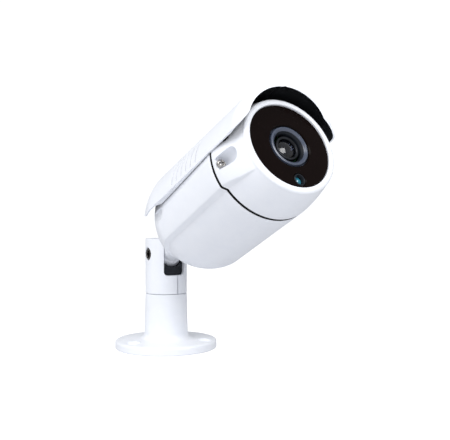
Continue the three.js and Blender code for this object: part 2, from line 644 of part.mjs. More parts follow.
function housingSolid() {
  const whole = joined(
    turned(barrelProfile(LOWER_RADIUS)),
    turned(barrelProfile(UPPER_RADIUS)).intersect(aboveStep(0, BEZEL_FRONT)),
  );
  const innerLength = DOME_LENGTH - REAR_WALL + CUT_MARGIN;
  const innerDome = sweep(6, (s) => {
    const station = REAR_FLOOR + (DOME_END_STATION - REAR_FLOOR) * (1 - Math.pow(1 - s, 1.6));
    return [domeRadius(station, HOUSING_BORE_RADIUS, innerLength), station];
  });
  const cavity = turned([
    [0, REAR_FLOOR],
    ...innerDome,
    [HOUSING_BORE_RADIUS, HOUSING_FRONT + CUT_MARGIN],
    [0, HOUSING_FRONT + CUT_MARGIN],
  ]);
  const studHole = bar(STUD_RADIUS + GAP, SEAT_STATION - CUT_MARGIN, REAR_FLOOR + CUT_MARGIN, 0, 0, MEDIUM);
  const screwEnd = CAP_REAR + CAP_SCREW_SEAT - CAP_SCREW_LENGTH - GAP;
  const screwHoles = capScrewPlaces().map(([x, z]) =>
    bar(CAP_SCREW_RADIUS + GAP, screwEnd, HOUSING_FRONT + CUT_MARGIN, x, z),
  );
  return cut(whole, cavity, studHole, ...screwHoles, ...shieldScrewHoles(), hollowCutter(-1), hollowCutter(1));
}

/** The hollow at the rear of a flank: a round-ended trough under a straight top edge. */
function hollowCutter(side) {
  const x = side * (UPPER_RADIUS + HOLLOW_RADIUS - HOLLOW_DEPTH);
  const z = HOLLOW_TOP - HOLLOW_RADIUS / 4;
  const trough = bar(HOLLOW_RADIUS, SEAT_STATION, HOLLOW_END, x, z, MEDIUM);
  const roundEnd = new THREE.SphereGeometry(HOLLOW_RADIUS, MEDIUM, COARSE).translate(x, -HOLLOW_END, z);
  const reach = 2 * UPPER_RADIUS;
  const below = block([-reach, -HOUSING_FRONT, -reach], [reach, 0, HOLLOW_TOP]);
  return joined(trough, solidOf(roundEnd)).intersect(below);
}

/** The black seal between the housing and the cap, with the same stepped outline. */
function gasketSolid() {
  const from = HOUSING_FRONT + GAP;
  const to = from + GASKET_THICKNESS;
  const outline = (radius) => bar(radius - GASKET_RECESS, from, to, 0, 0, FINE);
  const whole = joined(
    outline(LOWER_RADIUS),
    outline(UPPER_RADIUS).intersect(aboveStep(from - CUT_MARGIN, to + CUT_MARGIN, GASKET_RECESS)),
  );
  const skirtHole = bar(CAP_SKIRT_RADIUS + GAP, from - CUT_MARGIN, to + CUT_MARGIN, 0, 0, FINE);
  const screwHoles = capScrewPlaces().map(([x, z]) =>
    bar(CAP_SCREW_RADIUS + GAP, from - CUT_MARGIN, to + CUT_MARGIN, x, z),
  );
  return cut(whole, skirtHole, ...screwHoles);
}

/** Outer profile of the cap from its rear face to the bezel, for one of the two body radii. */
function capProfile(radius) {
  const fall = radius - BEZEL_RADIUS;
  const flank = sweep(6, (s) => [
    BEZEL_RADIUS + fall * (1 - Math.pow(s, CAP_FALL_POWER)),
    CAP_REAR + (CAP_LENGTH - BEZEL_EDGE_RADIUS) * s,
  ]);
  return [
    [0, CAP_REAR],
    ...flank,
    [BEZEL_RADIUS - BEZEL_EDGE_RADIUS / 4, BEZEL_FRONT - BEZEL_EDGE_RADIUS * 0.4],
    [BEZEL_RADIUS - BEZEL_EDGE_RADIUS * 0.8, BEZEL_FRONT],
    [BEZEL_OPENING_RADIUS + BEZEL_LIP_SET_BACK / 2, BEZEL_FRONT - BEZEL_LIP_SET_BACK / 3],
    [BEZEL_OPENING_RADIUS, BEZEL_FRONT - BEZEL_LIP_SET_BACK],
    [0, BEZEL_FRONT - BEZEL_LIP_SET_BACK],
  ];
}

function capSolid() {
  const whole = joined(
    turned(capProfile(LOWER_RADIUS)),
    turned(capProfile(UPPER_RADIUS)).intersect(aboveStep(0, BEZEL_FRONT + CUT_MARGIN)),
    bar(CAP_SKIRT_RADIUS, CAP_REAR - CAP_SKIRT_LENGTH, CAP_REAR + CUT_MARGIN, 0, 0, FINE),
  );
  const lipRear = BEZEL_FRONT - BEZEL_LIP_SET_BACK - BEZEL_LIP_THICKNESS;
  const bore = bar(CAP_BORE_RADIUS, CAP_REAR - CUT_MARGIN, lipRear, 0, 0, FINE);
  const opening = bar(BEZEL_OPENING_RADIUS, lipRear - CUT_MARGIN, BEZEL_FRONT + CUT_MARGIN, 0, 0, FINE);
  const skirtEnd = CAP_REAR - CAP_SKIRT_LENGTH - CUT_MARGIN;
  const shoulder = CAP_REAR + CARRIER_SHOULDER;
  const carrierBore = bar(CARRIER_BORE_RADIUS, skirtEnd, shoulder, 0, 0, FINE);
  const lugs = carrierScrewPlaces().map(([x, z]) =>
    bar(CARRIER_LUG_RADIUS, shoulder, shoulder + CARRIER_LUG_LENGTH, x, z),
  );
  const lugHoles = carrierScrewPlaces().map(([x, z]) =>
    bar(CARRIER_SCREW_RADIUS + GAP, CAP_REAR, shoulder + CARRIER_LUG_LENGTH - CUT_MARGIN, x, z),
  );
  const hollow = cut(whole, bore, opening, carrierBore, ...capScrewPlaces().flatMap(scoopCutters));
  return cut(joined(hollow, ...lugs), ...lugHoles);
}

/** The scooped way that a cap screw's head is reached through, and the hole for its shank. */
function scoopCutters([x, z]) {
  const seat = CAP_REAR + CAP_SCREW_SEAT;
  const end = seat + SCOOP_LENGTH;
  const roundEnd = new THREE.SphereGeometry(SCOOP_RADIUS, COARSE, COARSE).translate(x, -end, z);
  return [
    bar(SCOOP_RADIUS, seat, end, x, z),
    solidOf(roundEnd),
    bar(CAP_SCREW_RADIUS + GAP, CAP_REAR - CUT_MARGIN, seat + CUT_MARGIN, x, z),
  ];
}

/** A pan head screw along the barrel's axis with a cross recess, head towards +1 the front or -1 the rear. */
function screwSolid([x, z], seat, { shank, depth, headRadius, headHeight }, towards) {
  const along = (from, to) => [Math.min(from, to), Math.max(from, to)];
  const top = seat + towards * headHeight;
  const head = bar(headRadius, ...along(seat, top), x, z, COARSE);
  const stem = bar(shank, ...along(seat - towards * depth, (seat + top) / 2), x, z, COARSE);
  const recess = along(top - towards * headHeight * RECESS_DEPTH_SHARE, top + towards * CUT_MARGIN);
  const long = headRadius * 2 * RECESS_REACH_SHARE;
  const narrow = headRadius * 2 * RECESS_WIDTH_SHARE;
  return cut(joined(head, stem), plate(long, narrow, ...recess, x, z), plate(narrow, long, ...recess, x, z));
}

function capScrewSolid(place) {
  const seat = CAP_REAR + CAP_SCREW_SEAT + GAP;
  return screwSolid(place, seat, CAP_SCREW, 1);
}

// ---------------------------------------------------------------- sunshield

function shieldRadius(station) {
  const cone = UPPER_RADIUS + GAP + SHIELD_WALL + SHIELD_TAPER * (HOUSING_FRONT - station);
  const rear = Math.max(SHIELD_SHOULDER - station, 0) / (SHIELD_SHOULDER - SHIELD_REAR);
  const front = Math.max(station - (SHIELD_FRONT_TOP - SHIELD_LIP_LENGTH), 0) / SHIELD_LIP_LENGTH;
  return cone - SHIELD_REAR_DROP * Math.pow(rear, SHIELD_REAR_POWER) - SHIELD_LIP_DROP * front * front;
}

function shieldSolid() {
  const stations = [
    ...sweep(6, (s) => SHIELD_REAR + (SHIELD_SHOULDER - SHIELD_REAR) * s),
    HOUSING_FRONT,
    SHIELD_FRONT_TOP - SHIELD_LIP_LENGTH,
    SHIELD_FRONT_TOP - SHIELD_LIP_LENGTH / 2,
    SHIELD_FRONT_TOP + CUT_MARGIN,
  ];
  const outer = stations.map((station) => [shieldRadius(station), station]);
  const inner = stations.map((station) => [shieldRadius(station) - SHIELD_WALL, station]).reverse();
  const shell = turned([...outer, ...inner], 2 * MEDIUM);
  const side = new THREE.Shape();
  const high = 2 * UPPER_RADIUS;
  const sweepEnd = SHIELD_EDGE_HEIGHT + SHIELD_SWEEP_RISE;
  side.moveTo(SHIELD_SWEEP_STATION, SHIELD_EDGE_HEIGHT);
  side.bezierCurveTo(
    SHIELD_SWEEP_STATION + SHIELD_SWEEP_RISE / 2,
    SHIELD_EDGE_HEIGHT,
    SHIELD_FRONT_LOW - 1,
    sweepEnd - SHIELD_SWEEP_RISE / 2,
    SHIELD_FRONT_LOW,
    sweepEnd,
  );
  side.lineTo(SHIELD_FRONT_TOP, UPPER_RADIUS);
  side.lineTo(SHIELD_FRONT_TOP, high);
  side.lineTo(SHIELD_REAR, high);
  side.lineTo(SHIELD_REAR, SHIELD_EDGE_HEIGHT + SHIELD_REAR_CORNER);
  side.quadraticCurveTo(
    SHIELD_REAR + SHIELD_REAR_CORNER / 4,
    SHIELD_EDGE_HEIGHT + 1,
    SHIELD_REAR + SHIELD_REAR_CORNER,
    SHIELD_EDGE_HEIGHT,
  );
  side.closePath();
  const trough = shell.intersect(sideSlab(side, high));
  const louvreStations = Array.from({ length: LOUVRE_COUNT }, (_, i) => LOUVRE_FIRST + i * LOUVRE_PITCH);
  return cut(trough, ...louvreStations.flatMap(louvreCutters), ...shieldSlots());
}

/** The groove of one louvre on each flank: a thin ring sector just under the shield's surface. */
function louvreCutters(station) {
  const outer = shieldRadius(station) + CUT_MARGIN;
  const inner = shieldRadius(station) - LOUVRE_DEPTH;
  const [rear, front] = [station - LOUVRE_WIDTH / 2, station + LOUVRE_WIDTH / 2];
  const profile = [[inner, rear], [outer, rear], [outer, front], [inner, front]];
  const points = closed(profile.map(([radius, place]) => new THREE.Vector2(radius, -place)));
  const whole = solidOf(new THREE.LatheGeometry(points, 2 * MEDIUM));
  return [-1, 1].map((side) => whole.intersect(flankWedge(side, station)));
}

/** The wedge of space on one flank between the louvres' two end angles. */
function flankWedge(side, station) {
  const reach = 2 * UPPER_RADIUS;
  const shape = new THREE.Shape();
  const at = (angle, radius) => onCircle(radius, side * angle);
  shape.moveTo(...at((LOUVRE_LOW_ANGLE + LOUVRE_HIGH_ANGLE) / 2, 1));
  shape.lineTo(...at(LOUVRE_LOW_ANGLE, reach));
  shape.lineTo(...at(LOUVRE_HIGH_ANGLE, reach));
  shape.closePath();
  return crossSlab(shape, station - LOUVRE_WIDTH, station + LOUVRE_WIDTH);
}

/** An upright round bar in the barrel's frame, at a station on its top line. */
function topBar(radius, station, low, high, facets = COARSE) {
  const geometry = new THREE.CylinderGeometry(radius, radius, high - low, facets).rotateX(Math.PI / 2);
  return solidOf(geometry.translate(0, -station, (low + high) / 2));
}

/** Slots in the sunshield's top that its screws stand in, as long as its travel. */
function shieldSlots() {
  const radius = SHIELD_SCREW_RADIUS + GAP;
  return SHIELD_SCREW_STATIONS.map((front) => {
    const rear = front - SHIELD_TRAVEL;
    const low = UPPER_RADIUS - CUT_MARGIN;
    const high = shieldRadius(rear) + CUT_MARGIN;
    return joined(
      topBar(radius, front, low, high),
      topBar(radius, rear, low, high),
      block([-radius, -front, low], [radius, -rear, high]),
    );
  });
}

function shieldScrewHoles() {
  const screwEnd = UPPER_RADIUS - SHIELD_SCREW_DEPTH - GAP;
  return SHIELD_SCREW_STATIONS.map((station) =>
    topBar(SHIELD_SCREW_RADIUS + GAP, station, screwEnd, UPPER_RADIUS + CUT_MARGIN),
  );
}

function shieldScrewSolid(station) {
  const seat = shieldRadius(station - SHIELD_TRAVEL) + GAP;
  const head = topBar(SHIELD_SCREW_HEAD_RADIUS, station, seat, seat + SHIELD_SCREW_HEAD_HEIGHT);
  const stem = topBar(SHIELD_SCREW_RADIUS, station, UPPER_RADIUS - SHIELD_SCREW_DEPTH, seat + GAP);
  const top = seat + SHIELD_SCREW_HEAD_HEIGHT;
  const long = SHIELD_SCREW_HEAD_RADIUS * RECESS_REACH_SHARE;
  const narrow = SHIELD_SCREW_HEAD_RADIUS * RECESS_WIDTH_SHARE;
  const depth = SHIELD_SCREW_HEAD_HEIGHT * RECESS_DEPTH_SHARE;
  const bars = [[long, narrow], [narrow, long]].map(([x, y]) =>
    block([-x, -station - y, top - depth], [x, -station + y, top + CUT_MARGIN]),
  );
  return cut(joined(head, stem), ...bars);
}

/** A spacer tube under the sunshield that its screw passes through. */
function shieldSpacerSolid(station) {
  const low = UPPER_RADIUS + GAP;
  const high = shieldRadius(station) - SHIELD_WALL - GAP;
  const hole = topBar(SHIELD_SCREW_RADIUS + GAP, station, low - CUT_MARGIN, high + CUT_MARGIN);
  return cut(topBar(SHIELD_SCREW_HEAD_RADIUS, station, low, high), hole);
}

/** A small pad inside the sunshield's edge that keeps it off the cap, side is -1 or +1 along X. */
function bumperSolid(side) {
  const from = BUMPER_STATION;
  const to = BUMPER_STATION + BUMPER_LENGTH;
  const outer = shieldRadius(to) - SHIELD_WALL - GAP;
  const shell = ring(outer, outer - BUMPER_THICKNESS, from, to, 2 * MEDIUM);
  const low = SHIELD_EDGE_HEIGHT;
  const high = low + BUMPER_LENGTH;
  const [left, right] = side > 0 ? [0, 2 * UPPER_RADIUS] : [-2 * UPPER_RADIUS, 0];
  const room = block([left, -to - CUT_MARGIN, low], [right, -from + CUT_MARGIN, high]);
  return shell.intersect(room);
}

// ---------------------------------------------------------------- window, lens and photocell

const BOARD_STACK_FRONT = CARRIER_FRONT + GAP + LED_POST_LENGTH + GAP; // rear face of the LED board
const LED_BOARD_FRONT = BOARD_STACK_FRONT + BOARD_THICKNESS;

function windowSolid() {
  const [from, to] = [WINDOW_REAR - CUT_MARGIN, WINDOW_FRONT + CUT_MARGIN];
  const lensHole = bar(TRIM_RADIUS + WINDOW_HOLE_CLEARANCE, from, to, 0, 0, MEDIUM);
  const cellHole = bar(PHOTOCELL_HOLDER_RADIUS + GAP, from, to, 0, -PHOTOCELL_DROP);
  const middle = BEZEL_OPENING_RADIUS - GAP;
  const pane = turned([
    [0, WINDOW_REAR],
    [WINDOW_RADIUS, WINDOW_REAR],
    [WINDOW_RADIUS, WINDOW_SHOULDER],
    [middle, WINDOW_SHOULDER],
    [middle, WINDOW_FRONT],
    [0, WINDOW_FRONT],
  ]);
  return cut(pane, lensHole, cellHole);
}

function windowSealSolid() {
  const to = WINDOW_REAR - GAP;
  return ring(WINDOW_RADIUS, WINDOW_RADIUS - WINDOW_SEAL_WIDTH, to - WINDOW_SEAL_THICKNESS, to, FINE);
}

function trimRingSolid() {
  const flangeFront = WINDOW_REAR - GAP;
  const flangeRear = flangeFront - TRIM_FLANGE_THICKNESS;
  return turned(
    [
      [TRIM_OPENING_RADIUS, flangeRear],
      [TRIM_RADIUS + TRIM_FLANGE_WIDTH, flangeRear],
      [TRIM_RADIUS + TRIM_FLANGE_WIDTH, flangeFront],
      [TRIM_RADIUS, flangeFront],
      [TRIM_RADIUS, WINDOW_FRONT - 0.4],
      [TRIM_RADIUS - 0.4, WINDOW_FRONT],
      [TRIM_OPENING_RADIUS + TRIM_CHAMFER, WINDOW_FRONT],
      [TRIM_OPENING_RADIUS, WINDOW_FRONT - TRIM_CHAMFER],
    ],
    MEDIUM,
  );
}

const LENS_FRONT = WINDOW_FRONT - LENS_SET_BACK;
const FRONT_ELEMENT_REAR = LENS_FRONT - FRONT_ELEMENT_THICKNESS;
const LENS_SHOULDER = LENS_FRONT - LENS_HEAD_LENGTH;
const LENS_REAR = LENS_SHOULDER - LENS_THREAD_LENGTH;

function lensBarrelSolid() {
  const frontPocket = LENS_FRONT - FRONT_ELEMENT_THICKNESS - GAP;
  const rearPocket = LENS_REAR + REAR_ELEMENT_THICKNESS + GAP;
  return turned(
    [
      [REAR_ELEMENT_RADIUS + GAP, LENS_REAR],
      [LENS_THREAD_RADIUS, LENS_REAR],
      [LENS_THREAD_RADIUS, LENS_SHOULDER],
      [LENS_HEAD_RADIUS, LENS_SHOULDER],
      [LENS_HEAD_RADIUS, LENS_FRONT - 0.5],
      [LENS_HEAD_RADIUS - 0.5, LENS_FRONT],
      [FRONT_ELEMENT_RADIUS + GAP, LENS_FRONT],
      [FRONT_ELEMENT_RADIUS + GAP, frontPocket],
      [LENS_STOP_RADIUS, frontPocket],
      [LENS_STOP_RADIUS, rearPocket],
      [REAR_ELEMENT_RADIUS + GAP, rearPocket],
    ],
    MEDIUM,
  );
}

/** A lens element with a flat back and a front face that bulges by the given sag. */
function elementSolid(radius, rear, thickness, sag) {
  const front = sweep(5, (s) => [radius * (1 - s), rear + thickness - sag * (1 - s) * (1 - s)]);
  return turned([[0, rear], [radius, rear], ...front], MEDIUM);
}

function photocellHolderSolid() {
  const from = LED_BOARD_FRONT + GAP;
  const holder = bar(PHOTOCELL_HOLDER_RADIUS, from, WINDOW_FRONT, 0, -PHOTOCELL_DROP);
  const bore = bar(PHOTOCELL_RADIUS + GAP, from - CUT_MARGIN, WINDOW_FRONT + CUT_MARGIN, 0, -PHOTOCELL_DROP);
  return cut(holder, bore);
}

function photocellSolid() {
  return bar(PHOTOCELL_RADIUS, LED_BOARD_FRONT + GAP, WINDOW_FRONT - PHOTOCELL_SET_BACK, 0, -PHOTOCELL_DROP);
}

// ---------------------------------------------------------------- boards and their frame

function carrierScrewPlaces() {
  return [-1, 1].map((side) => onCircle(CARRIER_SCREW_CIRCLE_RADIUS, side * CARRIER_SCREW_ANGLE));
}

function ledPostPlaces() {
  const pitch = 360 / LED_POST_COUNT;
  return Array.from({ length: LED_POST_COUNT }, (_, i) => onCircle(LED_POST_CIRCLE_RADIUS, i * pitch));
}

function standoffPlaces() {
  return [[-1, -1], [1, -1], [1, 1], [-1, 1]].map(([x, z]) => [x * STANDOFF_OFFSET, z * STANDOFF_OFFSET]);
}

function carrierSolid() {
  const [from, to] = [CARRIER_REAR - CUT_MARGIN, CARRIER_FRONT + CUT_MARGIN];
  const centre = bar(HOLDER_TUBE_RADIUS + GAP, from, to, 0, 0, MEDIUM);
  const holes = carrierScrewPlaces().map(([x, z]) =>
    bar(CARRIER_SCREW_RADIUS + GAP, CARRIER_REAR - CUT_MARGIN, CARRIER_FRONT + CUT_MARGIN, x, z),
  );
  return cut(bar(CARRIER_RADIUS, CARRIER_REAR, CARRIER_FRONT, 0, 0, FINE), centre, ...holes);
}

function carrierScrewSolid(place) {
  const seat = CARRIER_REAR - GAP;
  const depth = CARRIER_THICKNESS + CARRIER_SCREW_REACH;
  return screwSolid(place, seat, { ...CARRIER_SCREW, depth }, -1);
}

function ledPostSolid([x, z]) {
  return bar(LED_POST_RADIUS, CARRIER_FRONT + GAP, BOARD_STACK_FRONT - GAP, x, z);
}

function ledBoardSolid() {
  const [from, to] = [BOARD_STACK_FRONT - CUT_MARGIN, LED_BOARD_FRONT + CUT_MARGIN];
  const hole = bar(LED_BOARD_HOLE_RADIUS, from, to, 0, 0, MEDIUM);
  const lugRooms = carrierScrewPlaces().map(([x, z]) => bar(CARRIER_LUG_RADIUS + 2 * GAP, from, to, x, z));
  return cut(bar(LED_BOARD_RADIUS, BOARD_STACK_FRONT, LED_BOARD_FRONT, 0, 0, FINE), hole, ...lugRooms);
}

/** A domed infrared LED on a flat base. */
function ledSolid(angle) {
  const from = LED_BOARD_FRONT + GAP;
  const flangeTop = from + LED_FLANGE_HEIGHT;
  const lens = LED_RADIUS - LED_FLANGE_WIDTH;
  const dome = sweep(4, (s) => [
    lens * Math.cos((s * Math.PI) / 2),
    from + LED_HEIGHT - lens + lens * Math.sin((s * Math.PI) / 2),
  ]);
  const profile = [[0, from], [LED_RADIUS, from], [LED_RADIUS, flangeTop], [lens, flangeTop], ...dome];
  const corner = ([radius, station]) => new THREE.Vector2(radius < 1e-6 ? 0 : radius, -station);
  const points = closed(profile.map(corner));
  const [x, z] = onCircle(LED_CIRCLE_RADIUS, angle);
  return solidOf(new THREE.LatheGeometry(points, COARSE).translate(x, 0, z));
}

const SENSOR_BOARD_FRONT = CARRIER_REAR - GAP - STANDOFF_LENGTH - GAP;
const SENSOR_BOARD_REAR = SENSOR_BOARD_FRONT - BOARD_THICKNESS;
const HOLDER_REAR = SENSOR_BOARD_FRONT + GAP;
const HOLDER_SHOULDER = HOLDER_REAR + HOLDER_BASE_SIZE[2];
const SHUTTLE_REAR = HOLDER_REAR + SHUTTLE_DEPTH;
const SHUTTLE_FRONT = SHUTTLE_REAR + SHUTTLE_SIZE[2];
const MAIN_BOARD_FRONT = SENSOR_BOARD_REAR - GAP - SPACER_LENGTH - GAP;
const MAIN_BOARD_REAR = MAIN_BOARD_FRONT - BOARD_THICKNESS;

function standoffSolid([x, z]) {
  return bar(STANDOFF_RADIUS, SENSOR_BOARD_FRONT + GAP, CARRIER_REAR - GAP, x, z);
}

function holderScrewPlaces() {
  const [width, height] = HOLDER_BASE_SIZE;
  return [-1, 1].map((side) => [side * (width / 2 - HOLDER_SCREW_INSET), height / 2 - HOLDER_SCREW_INSET]);
}

/** The lens mount: a threaded tube on a block with a well for the sensor and a slot for the filter shuttle. */
function lensHolderSolid() {
  const [width, height] = HOLDER_BASE_SIZE;
  const base = plate(width, height, HOLDER_REAR, HOLDER_SHOULDER);
  const tubeEnd = HOLDER_SHOULDER + HOLDER_TUBE_LENGTH;
  const tube = bar(HOLDER_TUBE_RADIUS, HOLDER_SHOULDER - CUT_MARGIN, tubeEnd, 0, 0, MEDIUM);
  const bore = bar(LENS_THREAD_RADIUS + GAP, SHUTTLE_FRONT, tubeEnd + CUT_MARGIN, 0, 0, MEDIUM);
  const well = plate(HOLDER_WELL_SIZE, HOLDER_WELL_SIZE, HOLDER_REAR - CUT_MARGIN, SHUTTLE_REAR);
  const slotWidth = SHUTTLE_SIZE[0] + SHUTTLE_TRAVEL + 2 * GAP;
  const slot = plate(slotWidth, SHUTTLE_SIZE[1] + 2 * GAP, SHUTTLE_REAR - GAP, SHUTTLE_FRONT + GAP);
  const holes = holderScrewPlaces().map(([x, z]) =>
    bar(HOLDER_SCREW_RADIUS + GAP, HOLDER_REAR - CUT_MARGIN, HOLDER_REAR + HOLDER_SCREW_DEPTH + GAP, x, z),
  );
  return cut(joined(base, tube), bore, well, slot, ...holes);
}

function holderScrewSolid(place) {
  const depth = BOARD_THICKNESS + 2 * GAP + HOLDER_SCREW_DEPTH;
  const seat = SENSOR_BOARD_REAR - GAP;
  return screwSolid(place, seat, { ...HOLDER_SCREW, depth }, -1);
}

/** The filter shuttle: two windows side by side, the one over the sensor with a pocket for the infrared filter. */
function shuttleSolid() {
  const [width, height] = SHUTTLE_SIZE;
  const body = plate(width, height, SHUTTLE_REAR, SHUTTLE_FRONT, -SHUTTLE_TRAVEL / 2);
  const through = SHUTTLE_GLASS_SIZE - 2 * SHUTTLE_LEDGE;
  const pocket = SHUTTLE_GLASS_SIZE + 2 * GAP;
  const [rear, front] = [SHUTTLE_REAR - CUT_MARGIN, SHUTTLE_FRONT + CUT_MARGIN];
  const windows = [0, -SHUTTLE_TRAVEL].map((x) => plate(through, through, rear, front, x));
  return cut(body, ...windows, plate(pocket, pocket, SHUTTLE_REAR + SHUTTLE_FLOOR, front));
}

function filterGlassSolid() {
  const rear = SHUTTLE_REAR + SHUTTLE_FLOOR + GAP;
  return plate(SHUTTLE_GLASS_SIZE, SHUTTLE_GLASS_SIZE, rear, rear + FILTER_THICKNESS);
}

/** The coil that pushes the shuttle across. */
function filterCoilSolid() {
  const [width, height, length] = FILTER_COIL_SIZE;
  const z = -(HOLDER_BASE_SIZE[1] + height) / 2 - GAP;
  return plate(width, height, HOLDER_REAR, HOLDER_REAR + length, 0, z);
}

function imageSensorSolid() {
  const [width, height, thickness] = IMAGE_SENSOR_SIZE;
  return plate(width, height, SENSOR_BOARD_FRONT + GAP, SENSOR_BOARD_FRONT + GAP + thickness);
}

function sensorBoardSolid() {
  const holes = holderScrewPlaces().map(([x, z]) =>
    bar(HOLDER_SCREW_RADIUS + GAP, SENSOR_BOARD_REAR - CUT_MARGIN, SENSOR_BOARD_FRONT + CUT_MARGIN, x, z),
  );
  return cut(plate(SENSOR_BOARD_SIZE, SENSOR_BOARD_SIZE, SENSOR_BOARD_REAR, SENSOR_BOARD_FRONT), ...holes);
}

function spacerPlaces() {
  return [-1, 1].map((side) => [side * SPACER_OFFSET, side * -SPACER_OFFSET * 0.8]);
}

function spacerSolid([x, z]) {
  const holeEnd = MAIN_BOARD_FRONT + BOARD_SCREW_DEPTH + CUT_MARGIN;
  const hole = bar(BOARD_SCREW_RADIUS + GAP, MAIN_BOARD_FRONT, holeEnd, x, z);
  return cut(bar(SPACER_RADIUS + GAP, MAIN_BOARD_FRONT + GAP, SENSOR_BOARD_REAR - GAP, x, z), hole);
}

function mainBoardSolid() {
  const [width, height] = MAIN_BOARD_SIZE;
  const holes = spacerPlaces().map(([x, z]) =>
    bar(BOARD_SCREW_RADIUS + GAP, MAIN_BOARD_REAR - CUT_MARGIN, MAIN_BOARD_FRONT + CUT_MARGIN, x, z, COARSE),
  );
  return cut(plate(width, height, MAIN_BOARD_REAR, MAIN_BOARD_FRONT), ...holes);
}

function boardScrewSolid(place) {
  const depth = BOARD_THICKNESS + BOARD_SCREW_DEPTH;
  const seat = MAIN_BOARD_REAR - GAP;
  return screwSolid(place, seat, { ...BOARD_SCREW, depth }, -1);
}

// ---------------------------------------------------------------- finishes

const finish = (color, roughness, metalness) => ({ color, roughness, metalness });
const POWDER_COAT = finish(0xe8ecf4, 0.45, 0.1);
const BLACK_PLASTIC = finish(0x14181e, 0.6, 0);
const BLACK_RUBBER = finish(0x0c0c0e, 0.85, 0);
const STEEL = finish(0x8f8f92, 0.3, 1);
const DARK_WINDOW = finish(0x160e0c, 0.12, 0);
const TRIM_PLASTIC = finish(0x6e7684, 0.4, 0.2);
const LENS_GLASS = finish(0x0b1018, 0.05, 0);
const TEAL_CELL = finish(0x2fa3b8, 0.3, 0);
const CIRCUIT_BOARD = finish(0x1d5c34, 0.6, 0);
const LED_RESIN = finish(0x30242e, 0.2, 0);
const CAST_ALUMINIUM = finish(0xa6aab0, 0.5, 0.9);
const BRASS = finish(0xb89a54, 0.35, 1);
const SENSOR_SILICON = finish(0x2b3040, 0.25, 0.4);
const FILTER_GLASS = finish(0x6fb3c9, 0.08, 0);

// ---------------------------------------------------------------- assembly

const camera = new THREE.Group();
const bracket = new THREE.Group();
const barrel = new THREE.Group();
camera.add(bracket, barrel);

// The barrel's frame: its origin is on the optical axis beside the tilt pivot.
const elevation = radians(REST_ELEVATION);
barrel.position.set(0, -AXIS_DROP * Math.sin(elevation), PIVOT_HEIGHT - AXIS_DROP * Math.cos(elevation));
barrel.rotation.x = -radians(REST_ELEVATION);

function add(group, name, solid, look) {
  const mesh = new THREE.Mesh(geometryOf(solid), new THREE.MeshStandardMaterial(look));
  mesh.name = name;
  group.add(mesh);
}

function addEach(group, name, places, make, look) {
  places.forEach((place, i) => add(group, `${name}_${i + 1}`, make(place), look));
}

add(bracket, 'base', baseSolid(), POWDER_COAT);
add(bracket, 'fork', forkSolid(), POWDER_COAT);
add(bracket, 'knuckle_cradle', cradleSolid(), BLACK_PLASTIC);
addEach(bracket, 'pivot_screw', [-1, 1], pivotScrewSolid, STEEL);
add(bracket, 'pan_lock_screw', panScrewSolid(), STEEL);

add(barrel, 'arm', armSolid(), POWDER_COAT);
add(barrel, 'arm_seal', armSealSolid(), BLACK_RUBBER);
add(barrel, 'roll_nut', rollNutSolid(), STEEL);
add(barrel, 'cable_grommet', grommetSolid(), BLACK_RUBBER);

add(barrel, 'housing', housingSolid(), POWDER_COAT);
add(barrel, 'cap_gasket', gasketSolid(), BLACK_RUBBER);
add(barrel, 'front_cap', capSolid(), POWDER_COAT);
addEach(barrel, 'cap_screw', capScrewPlaces(), capScrewSolid, STEEL);

add(barrel, 'front_window', windowSolid(), DARK_WINDOW);
add(barrel, 'window_seal', windowSealSolid(), BLACK_RUBBER);
add(barrel, 'lens_trim_ring', trimRingSolid(), TRIM_PLASTIC);
add(barrel, 'photocell_holder', photocellHolderSolid(), BLACK_PLASTIC);
add(barrel, 'photocell', photocellSolid(), TEAL_CELL);

add(barrel, 'lens_barrel', lensBarrelSolid(), BLACK_PLASTIC);
add(
  barrel,
  'lens_front_element',
  elementSolid(FRONT_ELEMENT_RADIUS, FRONT_ELEMENT_REAR, FRONT_ELEMENT_THICKNESS, FRONT_ELEMENT_SAG),
  LENS_GLASS,
);
add(
  barrel,
  'lens_rear_element',
  elementSolid(REAR_ELEMENT_RADIUS, LENS_REAR, REAR_ELEMENT_THICKNESS, REAR_ELEMENT_SAG),
  LENS_GLASS,
);
add(barrel, 'lens_holder', lensHolderSolid(), BLACK_PLASTIC);
addEach(barrel, 'lens_holder_screw', holderScrewPlaces(), holderScrewSolid, STEEL);
add(barrel, 'filter_shuttle', shuttleSolid(), BLACK_PLASTIC);
add(barrel, 'infrared_filter', filterGlassSolid(), FILTER_GLASS);
add(barrel, 'filter_coil', filterCoilSolid(), BRASS);

add(barrel, 'led_board', ledBoardSolid(), CIRCUIT_BOARD);
addEach(
  barrel,
  'infrared_led',
  Array.from({ length: LED_COUNT }, (_, i) => (360 * (i + 0.5)) / LED_COUNT),
  ledSolid,
  LED_RESIN,
);
addEach(barrel, 'led_board_post', ledPostPlaces(), ledPostSolid, BRASS);
add(barrel, 'board_carrier', carrierSolid(), CAST_ALUMINIUM);
addEach(barrel, 'carrier_screw', carrierScrewPlaces(), carrierScrewSolid, STEEL);
addEach(barrel, 'sensor_board_standoff', standoffPlaces(), standoffSolid, BRASS);
add(barrel, 'sensor_board', sensorBoardSolid(), CIRCUIT_BOARD);
add(barrel, 'image_sensor', imageSensorSolid(), SENSOR_SILICON);
addEach(barrel, 'main_board_spacer', spacerPlaces(), spacerSolid, BRASS);
add(barrel, 'main_board', mainBoardSolid(), CIRCUIT_BOARD);
addEach(barrel, 'main_board_screw', spacerPlaces(), boardScrewSolid, STEEL);

